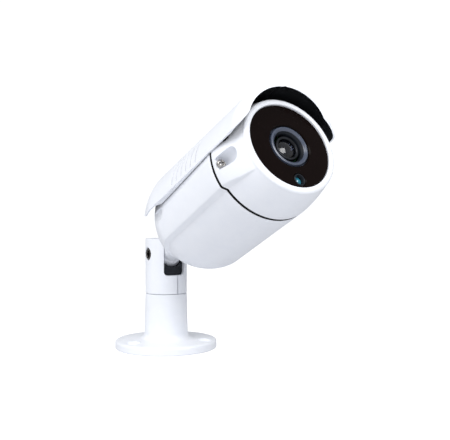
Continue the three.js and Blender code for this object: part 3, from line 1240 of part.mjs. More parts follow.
add(barrel, 'sunshield', shieldSolid(), POWDER_COAT);
addEach(barrel, 'sunshield_bumper', [-1, 1], bumperSolid, BLACK_RUBBER);
addEach(barrel, 'sunshield_spacer', SHIELD_SCREW_STATIONS, shieldSpacerSolid, STEEL);
addEach(barrel, 'sunshield_screw', SHIELD_SCREW_STATIONS, shieldScrewSolid, STEEL);

export default camera;
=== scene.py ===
import sys
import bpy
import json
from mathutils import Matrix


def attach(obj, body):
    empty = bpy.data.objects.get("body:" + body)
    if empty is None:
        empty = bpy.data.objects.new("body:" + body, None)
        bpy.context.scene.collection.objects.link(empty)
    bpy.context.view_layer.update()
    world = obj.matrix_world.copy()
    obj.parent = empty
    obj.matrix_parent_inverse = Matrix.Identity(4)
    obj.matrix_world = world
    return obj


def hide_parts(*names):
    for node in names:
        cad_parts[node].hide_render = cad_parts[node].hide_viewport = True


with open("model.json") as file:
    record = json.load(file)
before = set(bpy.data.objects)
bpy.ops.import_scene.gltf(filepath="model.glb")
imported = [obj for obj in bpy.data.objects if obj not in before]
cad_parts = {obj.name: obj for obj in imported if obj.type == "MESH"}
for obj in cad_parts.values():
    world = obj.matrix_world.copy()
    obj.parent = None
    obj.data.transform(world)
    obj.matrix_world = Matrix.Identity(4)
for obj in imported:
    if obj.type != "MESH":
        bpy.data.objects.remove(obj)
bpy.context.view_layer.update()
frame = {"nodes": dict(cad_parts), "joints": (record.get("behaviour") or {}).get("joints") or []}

"""A bullet security camera on a swivel wall bracket, dressed for a studio picture.

The frame gives every place and every motion. Each class below is one sub-assembly: its fields are sizes
in millimetres, and its methods build the fine surfaces that stand for the plain ones and give them a finish.
Pieces of the barrel are drawn in its own axes: across, up and forward along the optical axis, where
"station" is the distance forward of the roll axis's origin.
"""

import json
import logging
import math
from dataclasses import dataclass
from enum import Enum
from typing import Any, Optional, Sequence

import bpy
import numpy as np

log = logging.getLogger("bullet_camera")

Tree = bpy.types.NodeTree
Socket = bpy.types.NodeSocket

MM = 0.001
FINE = 168  # facets round a large turned piece
MEDIUM = 72  # facets round a small one
SMOOTH_ANGLE = math.radians(34)


class Body(Enum):
    """The bodies that pieces ride on."""

    BASE = "base"
    FORK = "fork"
    ARM = "arm"
    CAMERA = "camera"
    LENS = "lens"
    SHIELD = "shield"


class Slot(Enum):
    """The record's material slots that the fine pieces take."""

    WHITE_COAT = "white_coat"
    BLACK_PLASTIC = "black_plastic"
    BLACK_RUBBER = "black_rubber"
    SCREW_STEEL = "screw_steel"
    WINDOW_PANEL = "window_panel"
    TRIM_PLASTIC = "trim_plastic"
    LENS_GLASS = "lens_glass"
    PHOTOCELL_GLASS = "photocell_glass"


class Side(Enum):
    """The two flanks, as the sign of X."""

    NEAR = -1
    FAR = 1


# ---------------------------------------------------------------- axes and points


@dataclass(frozen=True)
class Axes:
    """Right-handed axes that a piece is drawn in: across, up and along, from an origin in metres."""

    origin: np.ndarray
    across: np.ndarray
    up: np.ndarray
    along: np.ndarray

    def place(self, across: np.ndarray, up: np.ndarray, along: np.ndarray) -> np.ndarray:
        """Turns distances on the three axes into points.

        Args:
            across: distances across, in millimetres.
            up: distances up, of the same shape.
            along: distances along, of the same shape.

        Returns:
            Points in metres, with a last axis of three.
        """
        parts = np.broadcast_arrays(across, up, along)
        steps = [part[..., None] * axis for part, axis in zip(parts, (self.across, self.up, self.along))]
        return self.origin + MM * sum(steps)

    def moved(self, across: float = 0, up: float = 0, along: float = 0) -> "Axes":
        """Returns the same axes from an origin moved by those millimetres."""
        origin = self.place(np.array(across), np.array(up), np.array(along))
        return Axes(origin, self.across, self.up, self.along)

    def reversed(self) -> "Axes":
        """Returns these axes turned half round, so that along points the other way."""
        return Axes(self.origin, -self.across, self.up, -self.along)


def joint(name: str) -> dict:
    """Returns the frame's joint of that name."""
    return next(each for each in frame["joints"] if each["name"] == name)


X, Y, Z = np.eye(3)
UPRIGHT = Axes(np.zeros(3), X, Y, Z)
FORWARD = np.array(joint("roll")["axis"], float)
BARREL = Axes(np.array(joint("roll")["pos_m"], float), X, np.cross(FORWARD, X), FORWARD)


def arc(centre: Sequence[float], radius: float, start: float, end: float, count: int = 7) -> np.ndarray:
    """Points of a circular arc in a profile.

    Args:
        centre: the arc's centre as radius and station.
        radius: the arc's radius.
        start: first angle in degrees, from outwards towards forwards.
        end: last angle in degrees.
        count: how many points.

    Returns:
        An array of radius and station pairs.
    """
    angle = np.radians(np.linspace(start, end, count))
    return np.stack([centre[0] + radius * np.cos(angle), centre[1] + radius * np.sin(angle)], -1)


def on_circle(radius: float, degrees: float) -> tuple[float, float]:
    """Returns across and up of a place on a circle, the angle taken from the top towards +X."""
    return radius * math.sin(math.radians(degrees)), radius * math.cos(math.radians(degrees))


# ---------------------------------------------------------------- meshes


def quads(rows: int, columns: int, wrap_rows: bool, wrap_columns: bool = True) -> np.ndarray:
    """Corner numbers of the four-sided faces of a grid of points.

    Args:
        rows: number of rows.
        columns: number of points in a row.
        wrap_rows: whether the last row joins the first.
        wrap_columns: whether the last column joins the first.

    Returns:
        An array of faces with four corners each.
    """
    row = np.arange(rows if wrap_rows else rows - 1)
    column = np.arange(columns if wrap_columns else columns - 1)
    i, j = np.meshgrid(row, column, indexing="ij")
    k, m = (i + 1) % rows, (j + 1) % columns
    return np.stack([i * columns + j, i * columns + m, k * columns + m, k * columns + j], -1).reshape(-1, 4)


def enclosed(points: np.ndarray, faces: Sequence[np.ndarray]) -> float:
    """Six times the volume inside the faces, the sum of their corners' triple products.

    Args:
        points: points, one to a row.
        faces: arrays of faces, one array for each number of corners.

    Returns:
        The sum, negative if the faces point in.
    """
    total = 0.0
    for group in faces:
        first = points[group[:, 0]]
        for k in range(1, group.shape[1] - 1):
            total += np.einsum("ij,ij->", first, np.cross(points[group[:, k]], points[group[:, k + 1]]))
    return total


def build(name: str, points: np.ndarray, faces: Sequence[np.ndarray]) -> bpy.types.Object:
    """Makes an object from whole arrays, with its faces turned outwards.

    Args:
        name: the object's name.
        points: points in metres, of any shape that ends in three.
        faces: arrays of faces, one array for each number of corners.

    Returns:
        The new object, at the origin.
    """
    points = points.reshape(-1, 3)
    if enclosed(points, faces) < 0:
        faces = [group[:, ::-1] for group in faces]
    corners = np.concatenate([group.ravel() for group in faces])
    sizes = np.concatenate([np.full(len(group), group.shape[1]) for group in faces])
    mesh = bpy.data.meshes.new(name)
    mesh.vertices.add(len(points))
    mesh.vertices.foreach_set("co", points.astype(np.float32).ravel())
    mesh.loops.add(len(corners))
    mesh.loops.foreach_set("vertex_index", corners.astype(np.int32))
    mesh.polygons.add(len(sizes))
    mesh.polygons.foreach_set("loop_start", np.concatenate([[0], np.cumsum(sizes)[:-1]]).astype(np.int32))
    mesh.update(calc_edges=True)
    mesh.validate()
    smooth(mesh)
    thing = bpy.data.objects.new(name, mesh)
    bpy.context.scene.collection.objects.link(thing)
    return thing


def smooth(mesh: bpy.types.Mesh) -> None:
    """Shades a mesh smooth, with edges sharper than SMOOTH_ANGLE kept crisp."""
    mesh.polygons.foreach_set("use_smooth", np.ones(len(mesh.polygons), bool))
    mesh.set_sharp_from_angle(angle=SMOOTH_ANGLE)


def rings(name: str, grid: np.ndarray, closed: bool) -> bpy.types.Object:
    """A solid from a stack of closed rings of points.

    Args:
        name: the object's name.
        grid: points in metres, rings by places round each ring by three.
        closed: True where the last ring joins the first; else a fan to each end ring's middle closes it.

    Returns:
        The new object.
    """
    rows, columns = grid.shape[:2]
    faces = [quads(rows, columns, closed)]
    points = grid.reshape(-1, 3)
    if not closed:
        around = np.arange(columns)
        after = (around + 1) % columns
        last = (rows - 1) * columns
        low, high = rows * columns, rows * columns + 1
        points = np.concatenate([points, grid[0].mean(0)[None], grid[-1].mean(0)[None]])
        faces.append(np.stack([after, around, np.full(columns, low)], -1))
        faces.append(np.stack([last + around, last + after, np.full(columns, high)], -1))
    return build(name, points, faces)


def turned(name: str, profile: np.ndarray, axes: Axes, facets: int = FINE) -> bpy.types.Object:
    """A turned solid: each profile point goes round the axis at its radius and station.

    Args:
        name: the object's name.
        profile: pairs of radius and station in millimetres; it closes on itself unless it ends on the axis.
        axes: the axes it is drawn in.
        facets: places round the circle.

    Returns:
        The new object.
    """
    profile = np.asarray(profile, float)
    on_axis = profile[0, 0] == 0
    if on_axis:
        profile = profile.copy()
        profile[[0, -1], 0] = 1e-3
    angle = np.linspace(0, 2 * np.pi, facets, endpoint=False)
    radius, station = profile[:, :1], profile[:, 1:]
    return rings(name, axes.place(radius * np.sin(angle), radius * np.cos(angle), station), not on_axis)


def rod(
    name: str, radius: float, start: float, end: float, axes: Axes, facets: int = MEDIUM
) -> bpy.types.Object:
    """A round bar along the axes.

    Args:
        name: the object's name.
        radius: its radius in millimetres.
        start: distance along of its first end.
        end: distance along of its second end.
        axes: the axes it is drawn in.
        facets: places round the circle.

    Returns:
        The new object.
    """
    return turned(name, np.array([(0, start), (radius, start), (radius, end), (0, end)], float), axes, facets)


def slab(name: str, low: Sequence[float], high: Sequence[float], axes: Axes) -> bpy.types.Object:
    """A box, as a stack of two square rings.

    Args:
        name: the object's name.
        low: its lowest corner, as across, up and along.
        high: its highest corner.
        axes: the axes it is drawn in.

    Returns:
        The new object.
    """
    across = np.array([low[0], high[0], high[0], low[0]], float)
    up = np.array([low[1], low[1], high[1], high[1]], float)
    along = np.array([[low[2]], [high[2]]], float)
    return rings(name, axes.place(across, up, along), False)


def combine(body: bpy.types.Object, operation: str, *tools: bpy.types.Object) -> bpy.types.Object:
    """Cuts or joins solids and removes the tools.

    Args:
        body: the solid that is kept.
        operation: DIFFERENCE, UNION or INTERSECT.
        tools: the solids that cut it or join it.

    Returns:
        The body, with its new mesh.
    """
    for tool in tools:
        step = body.modifiers.new("step", "BOOLEAN")
        step.operation = operation
        step.solver = "EXACT"
        step.object = tool
    ready = body.evaluated_get(bpy.context.evaluated_depsgraph_get())
    mesh = bpy.data.meshes.new_from_object(ready)
    body.modifiers.clear()
    body.data = mesh
    smooth(mesh)
    for tool in tools:
        bpy.data.objects.remove(tool)
    return body


def ease(thing: bpy.types.Object, width: float, segments: int = 2) -> bpy.types.Object:
    """Rounds a piece's crisp edges.

    Args:
        thing: the piece.
        width: how far the rounding reaches from an edge, in millimetres.
        segments: faces across the rounding.

    Returns:
        The piece.
    """
    bevel = thing.modifiers.new("eased edges", "BEVEL")
    bevel.width = width * MM
    bevel.segments = segments
    bevel.limit_method = "ANGLE"
    bevel.angle_limit = SMOOTH_ANGLE
    bevel.use_clamp_overlap = True
    return thing


# ---------------------------------------------------------------- finishes


def linear(colour: str) -> tuple[float, float, float, float]:
    """Turns an sRGB hex colour such as "#e8ecf4" into linear red, green, blue and alpha."""
    parts = [int(colour[k : k + 2], 16) / 255 for k in (1, 3, 5)]
    return (*[c / 12.92 if c <= 0.04045 else ((c + 0.055) / 1.055) ** 2.4 for c in parts], 1.0)


def add_node(
    tree: Tree, kind: str, values: Optional[dict] = None, links: Optional[dict] = None, **settings: Any
) -> bpy.types.Node:
    """Adds one node.

    Args:
        tree: the node tree.
        kind: the node's type.
        values: constants by socket name or number.
        links: output sockets by the name or number of the input that they feed.
        settings: the node's own settings.

    Returns:
        The new node.
    """
    added = tree.nodes.new(kind)
    for key, value in settings.items():
        setattr(added, key, value)
    for key, value in (values or {}).items():
        added.inputs[key].default_value = value
    for key, socket in (links or {}).items():
        tree.links.new(socket, added.inputs[key])
    return added


def per_mm(size: float) -> float:
    """The texture scale, in cells to the metre, of a pattern whose cells are that many millimetres."""
    return 1 / (size * MM)


@dataclass(frozen=True)
class Finish:
    """A material: what it is made of and how its surface was made.

    The base has a mottled colour, an uneven gloss and a fine grain in relief; each kind adds its own marks.
    """

    name: str
    colour: str
    shade: str  # the colour's darker variation
    roughness: float
    metallic: float = 0.0
    mottle_mm: float = 6.0
    grain_mm: float = 0.5
    relief_mm: float = 0.01
    coat: float = 0.0
    coat_roughness: float = 0.1
    ior: float = 1.5
    specular: float = 0.5

    def material(self) -> bpy.types.Material:
        """Returns the Blender material, made on first use."""
        return bpy.data.materials.get(self.name) or self.made()

    def made(self) -> bpy.types.Material:
        """Builds the material: shader, mottled colour, uneven gloss and grain.

        Returns:
            The material.
        """
        material = bpy.data.materials.new(self.name)
        material.use_nodes = True
        tree = material.node_tree
        shader = tree.nodes["Principled BSDF"]
        shader.inputs["Metallic"].default_value = self.metallic
        shader.inputs["Coat Weight"].default_value = self.coat
        shader.inputs["Coat Roughness"].default_value = self.coat_roughness
        shader.inputs["Specular IOR Level"].default_value = self.specular
        if not self.metallic:
            shader.inputs["IOR"].default_value = self.ior
        place = add_node(tree, "ShaderNodeTexCoord").outputs["Object"]
        mottle = add_node(
            tree, "ShaderNodeTexNoise", {"Scale": per_mm(self.mottle_mm), "Detail": 4.0}, {"Vector": place}
        )
        tone = add_node(
            tree,
            "ShaderNodeMix",
            {6: linear(self.colour), 7: linear(self.shade)},
            {0: mottle.outputs["Fac"]},
            data_type="RGBA",
        )
        gloss = add_node(
            tree,
            "ShaderNodeMapRange",
            {"To Min": self.roughness * 0.85, "To Max": min(self.roughness * 1.15, 1)},
            {"Value": mottle.outputs["Fac"]},
        )
        tree.links.new(gloss.outputs["Result"], shader.inputs["Roughness"])
        colour, height = self.marks(tree, place, tone.outputs[2])
        tree.links.new(colour, shader.inputs["Base Color"])
        bump = add_node(
            tree,
            "ShaderNodeBump",
            {"Strength": 1.0, "Distance": self.relief_mm * MM},
            {"Height": height},
        )
        tree.links.new(bump.outputs["Normal"], shader.inputs["Normal"])
        self.adjust(shader)
        return material

    def marks(self, tree: Tree, place: Socket, tone: Socket) -> tuple[Socket, Socket]:
        """Adds the surface's own marks.

        Args:
            tree: the node tree.
            place: object coordinates.
            tone: the mottled colour.

        Returns:
            The colour and the height of the relief.
        """
        grain = add_node(
            tree, "ShaderNodeTexNoise", {"Scale": per_mm(self.grain_mm), "Detail": 3.0}, {"Vector": place}
        )
        return tone, grain.outputs["Fac"]

    def adjust(self, shader: bpy.types.Node) -> None:
        """Sets what only this kind of material has on the shader; the plain kind has nothing more."""


@dataclass(frozen=True)
class PowderCoat(Finish):
    """Powder coat on cast metal: it flows out into a soft orange peel, with finer pips between."""

    peel_mm: float = 2.2

    def marks(self, tree: Tree, place: Socket, tone: Socket) -> tuple[Socket, Socket]:
        """Adds orange peel, rounded cells of peel_mm, under the finer grain.

        Args:
            tree: the node tree.
            place: object coordinates.
            tone: the mottled colour.

        Returns:
            The colour and the height of the relief.
        """
        scale = {"Scale": per_mm(self.peel_mm)}
        peel = add_node(tree, "ShaderNodeTexVoronoi", scale, {"Vector": place}, feature="SMOOTH_F1")
        grain = add_node(
            tree, "ShaderNodeTexNoise", {"Scale": per_mm(self.grain_mm), "Detail": 2.0}, {"Vector": place}
        )
        height = add_node(
            tree,
            "ShaderNodeMath",
            {1: 0.35},
            {0: grain.outputs["Fac"], 2: peel.outputs["Distance"]},
            operation="MULTIPLY_ADD",
        )
        return tone, height.outputs[0]


@dataclass(frozen=True)
class TurnedMetal(Finish):
    """Bright metal from a lathe or header: fine rings of tool marks across the bar."""

    ring_mm: float = 0.25

    def marks(self, tree: Tree, place: Socket, tone: Socket) -> tuple[Socket, Socket]:
        """Adds tool marks, waves of ring_mm bent by a little noise.

        Args:
            tree: the node tree.
            place: object coordinates.
            tone: the mottled colour.

        Returns:
            The colour and the height of the relief.
        """
        waves = add_node(
            tree,
            "ShaderNodeTexWave",
            {"Scale": per_mm(self.ring_mm) / 20, "Distortion": 6.0, "Detail": 2.0, "Detail Scale": 2.0},
            {"Vector": place},
            wave_type="RINGS",
            rings_direction="SPHERICAL",
        )
        worn = add_node(
            tree,
            "ShaderNodeMix",
            {7: linear(self.shade)},
            {0: waves.outputs["Fac"], 6: tone},
            data_type="RGBA",
        )
        return worn.outputs[2], waves.outputs["Fac"]


@dataclass(frozen=True)
class SolderMask(Finish):
    """Green lacquer over a glass-fibre board: copper tracks stand up under it and show lighter."""

    track: str = "#2f7d4a"
    track_mm: float = 1.6

    def marks(self, tree: Tree, place: Socket, tone: Socket) -> tuple[Socket, Socket]:
        """Adds tracks, straight-sided cells of track_mm with raised borders.

        Args:
            tree: the node tree.
            place: object coordinates.
            tone: the mottled colour.

        Returns:
            The colour and the height of the relief.
        """
        cells = add_node(
            tree,
            "ShaderNodeTexVoronoi",
            {"Scale": per_mm(self.track_mm), "Randomness": 0.45},
            {"Vector": place},
            distance="MANHATTAN",
        )
        border = {"From Min": 0.5, "From Max": 0.6}
        edge = add_node(tree, "ShaderNodeMapRange", border, {"Value": cells.outputs["Distance"]})
        tracks = add_node(
            tree,
            "ShaderNodeMix",
            {7: linear(self.track)},
            {0: edge.outputs["Result"], 6: tone},
            data_type="RGBA",
        )
        return tracks.outputs[2], edge.outputs["Result"]


@dataclass(frozen=True)
class ClearGlass(Finish):
    """Polished optical glass: it lets light through and mirrors what is bright, tinted by its coating."""

    transmission: float = 1.0

    def adjust(self, shader: bpy.types.Node) -> None:
        """Lets light through the glass."""
        shader.inputs["Transmission Weight"].default_value = self.transmission


# Polyester powder coat, sprayed and baked on die-cast aluminium: cool white, satin, with a faint orange peel.
WHITE_POWDER_COAT = PowderCoat(
    "polyester_powder_coat_baked", "#f3f5fa", "#eceff6", 0.42,
    grain_mm=0.6, relief_mm=0.02, coat=0.15, coat_roughness=0.3,
)
# The same coat in matt black on the sunshield's underside, so that it throws no light into the lens.
BLACK_POWDER_COAT = PowderCoat(
    "matt_black_powder_coat_baked", "#0c0d0f", "#131417", 0.6, grain_mm=0.6, relief_mm=0.02, specular=0.2
)
# A dull grey on the bottom of the louvre grooves: painted shade, standing for the shadow that lies in the
# grooves.
GROOVE_PAINTED_SHADE = PowderCoat(
    "painted_shade_in_grooves", "#5c6068", "#4e5159", 0.7, grain_mm=0.4, relief_mm=0.02
)
# Glass-filled nylon, moulded with a spark-eroded texture: nearly black, slightly blue, matt.
BLACK_NYLON = Finish(
    "glass_filled_nylon_moulded", "#10141b", "#171c24", 0.5, grain_mm=0.35, relief_mm=0.02, specular=0.3
)
# Silicone rubber, moulded: black, dull, with a soft bloom.
BLACK_SILICONE = Finish(
    "silicone_rubber_moulded", "#08080a", "#0e0e10", 0.7, grain_mm=0.4, relief_mm=0.02, specular=0.12
)
# Stainless steel, cold headed and tumbled: bright, with fine tool rings.
HEADED_STEEL = TurnedMetal("stainless_steel_cold_headed", "#d5d3d0", "#9d9a97", 0.22, 1.0, relief_mm=0.01)
# Black-oxide steel, cold headed: the socket screw's dark body.
OXIDE_STEEL = TurnedMetal("black_oxide_steel_cold_headed", "#8f8b86", "#4a4642", 0.26, 1.0, relief_mm=0.01)
# Infrared-pass polycarbonate, injection moulded and hard coated: brown-black, deep gloss.
SMOKED_POLYCARBONATE = Finish(
    "infrared_pass_polycarbonate_hard_coated", "#0d0706", "#120a09", 0.2, mottle_mm=3.0, grain_mm=4.0,
    relief_mm=0.004, ior=1.585, specular=0.04,
)
# ABS, moulded and satin painted: a blue grey ring that catches soft light.
PAINTED_ABS = Finish(
    "painted_abs_moulded", "#4a5264", "#3d4454", 0.28,
    grain_mm=0.4, relief_mm=0.012, coat=0.35, coat_roughness=0.15,
)
# Black-anodised aluminium, turned: the lens barrel, with a dull sheen.
ANODISED_ALUMINIUM = TurnedMetal(
    "black_anodised_aluminium_turned", "#2b2f37", "#15171c", 0.34, 0.5, relief_mm=0.015
)
# Optical glass, ground, polished and coated, with a blue-violet cast and small sharp reflections; its dark
# tint is painted shade, darkening what shows through it as if the inside of the lens lay in shadow.
SHADE_TINTED_GLASS = ClearGlass(
    "optical_glass_shade_tinted", "#565c74", "#4a5068", 0.02, grain_mm=8.0, relief_mm=0.0005, ior=1.6, specular=0.3
)
# Epoxy over a light cell, cast: clear teal.
TEAL_EPOXY = Finish(
    "tinted_epoxy_cast", "#2b8ca3", "#1d6378", 0.12,
    grain_mm=1.0, relief_mm=0.01, coat=1.0, coat_roughness=0.03,
)
# Glass-fibre laminate under green solder mask, etched and lacquered.
GREEN_BOARD = SolderMask(
    "fibreglass_board_solder_masked", "#1b5a33", "#164a2b", 0.35, relief_mm=0.03, coat=0.4
)
# Epoxy LED body, cast: dark violet, glossy.
LED_EPOXY = Finish("led_epoxy_cast", "#30242e", "#251b24", 0.12, grain_mm=1.0, relief_mm=0.005, coat=0.6)
# Aluminium, stamped: grey with a faint rolled grain.
STAMPED_ALUMINIUM = TurnedMetal("aluminium_sheet_stamped", "#b4b7bb", "#8f9296", 0.4, 1.0, relief_mm=0.01)
# Free-machining brass, turned.
TURNED_BRASS = TurnedMetal("brass_turned", "#c9a95a", "#a8873c", 0.3, 1.0, relief_mm=0.01)
# Enamelled copper wire, wound: shiny orange brown turns.
WOUND_COPPER = TurnedMetal(
    "enamelled_copper_wound", "#b86a3a", "#8a4a25", 0.3, 1.0, ring_mm=0.4, relief_mm=0.08
)
# Silicon under cover glass: dark, warm where its light-gathering field shows.
SILICON_CHIP = SolderMask(
    "silicon_sensor_under_glass", "#8a7c60", "#6e6350", 0.2, 0.3,
    track="#b5a583", track_mm=0.8, relief_mm=0.004, coat=1.0,
)
# Blue absorbing glass, polished and coated.
FILTER_GLASS = ClearGlass(
    "infrared_cut_glass_polished", "#8fd0e0", "#84c6d8", 0.03, grain_mm=5.0, relief_mm=0.0005, ior=1.52
)


def settle(thing: bpy.types.Object, body: Body, slot: Slot, finish: Finish, *nodes: str) -> bpy.types.Object:
    """Dresses a new piece that isn't dressed yet, hangs it on its body and lets it stand for plain nodes.

    Args:
        thing: the piece.
        body: the body that it moves with.
        slot: the record's slot that it takes its finish from.
        finish: its finish.
        nodes: the plain nodes that it stands for.

    Returns:
        The piece.
    """
    if not thing.data.materials:
        thing.data.materials.append(finish.material())
    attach(thing, body.value)
    if nodes:
        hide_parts(*nodes)
    log.info("%s: %d faces, rides on %s", thing.name, len(thing.data.polygons), body.value)
    return thing


def dress(finish: Finish, *nodes: str) -> None:
    """Gives plain nodes that are shown as they are their finish.

    Args:
        finish: the finish.
        nodes: the nodes' names.
    """
    for name in nodes:
        mesh = frame["nodes"][name].data
        mesh.materials.clear()
        mesh.materials.append(finish.material())
        log.info("%s: dressed in %s", name, finish.name)


# ---------------------------------------------------------------- screws


@dataclass(frozen=True)
class CrossScrew:
    """A pan head screw with a cross recess. The head points along the axes."""

    head_radius: float
    head_height: float
    shank_radius: float
    depth: float
    seat: float = 0.0

    def mesh(self, name: str, axes: Axes) -> bpy.types.Object:
        """Builds the screw.

        Rings run from the middle of the head outwards, down its side and along the shank. The head's height
        is an ellipse's, less a cross: two crossed bars whose depth fades towards their ends and sides.

        Args:
            name: the object's name.
            axes: the axes on the screw's centre line.

        Returns:
            The new object.
        """
        angle = np.linspace(0, 2 * np.pi, MEDIUM, endpoint=False)
        share = np.linspace(0.01, 1, 26)[:, None]
        radius = share * self.head_radius
        across, up = radius * np.sin(angle), radius * np.cos(angle)
        dome = self.head_height * (0.45 + 0.55 * np.sqrt(np.clip(1 - share**2.6, 0, 1)))
        width, reach = 0.17 * self.head_radius, 0.62 * self.head_radius
        bars = [
            1 / (1 + np.exp((np.abs(p) - width) / (0.03 * self.head_radius)))
            / (1 + np.exp((np.abs(q) - reach) / (0.05 * self.head_radius)))
            for p, q in ((across, up), (up, across))
        ]
        top = dome - 0.55 * self.head_height * np.maximum(*bars)
        side = [
            (self.head_radius, 0.25 * self.head_height),
            (self.head_radius * 0.97, 0),
            (self.shank_radius, 0),
            (self.shank_radius, -self.depth + 0.5),
            (self.shank_radius * 0.6, -self.depth),
        ]
        parts = [axes.place(across, up, self.seat + top)]
        for ring, height in side:
            points = axes.place(ring * np.sin(angle), ring * np.cos(angle), np.array(self.seat + height))
            parts.append(points[None])
        return rings(name, np.concatenate(parts), False)


@dataclass(frozen=True)
class SocketScrew:
    """A hexagon socket set screw. Its mouth points along the axes."""

    radius: float
    socket: float
    socket_depth: float
    length: float
    tip_radius: float
    tip_length: float

    def mesh(self, name: str, axes: Axes) -> bpy.types.Object:
        """Builds the screw from its mouth, which lies at the axes' origin.

        Rings run from the socket's floor up its six walls, over the chamfered mouth, down the threaded side
        and round the tip. A hexagon's ring has radius apothem / cos(angle from the nearest flat's middle).

        Args:
            name: the object's name.
            axes: the axes on the screw's centre line.

        Returns:
            The new object.
        """
        angle = np.linspace(0, 2 * np.pi, MEDIUM, endpoint=False)
        sixth = np.pi / 3
        hexagon = self.socket / np.cos((angle + sixth / 2) % sixth - sixth / 2)
        round_ = np.ones_like(angle)
        thread = [
            (self.radius - 0.35 * (k % 2), -0.8 - 0.35 * k)
            for k in range(int((self.length - 1.6) / 0.35))
        ]
        rows = [
            (0.05 * hexagon, -self.socket_depth - 0.5),
            (hexagon, -self.socket_depth),
            (hexagon, -0.35),
            (hexagon * 1.08, -0.05),
            (round_ * (self.radius - 0.75), 0.0),
            (round_ * (self.radius - 0.2), -0.25),
            (round_ * self.radius, -0.5),
            *[(round_ * radius, depth) for radius, depth in thread],
            (round_ * (self.radius - 0.4), -self.length),
            (round_ * self.tip_radius, -self.length),
            (round_ * self.tip_radius, -self.length - self.tip_length + 0.4),
            (round_ * (self.tip_radius - 0.4), -self.length - self.tip_length),
        ]
        sine, cosine = np.sin(angle), np.cos(angle)
        grid = [axes.place(radius * sine, radius * cosine, np.array(depth)) for radius, depth in rows]
        return rings(name, np.stack(grid), False)


# ---------------------------------------------------------------- bracket


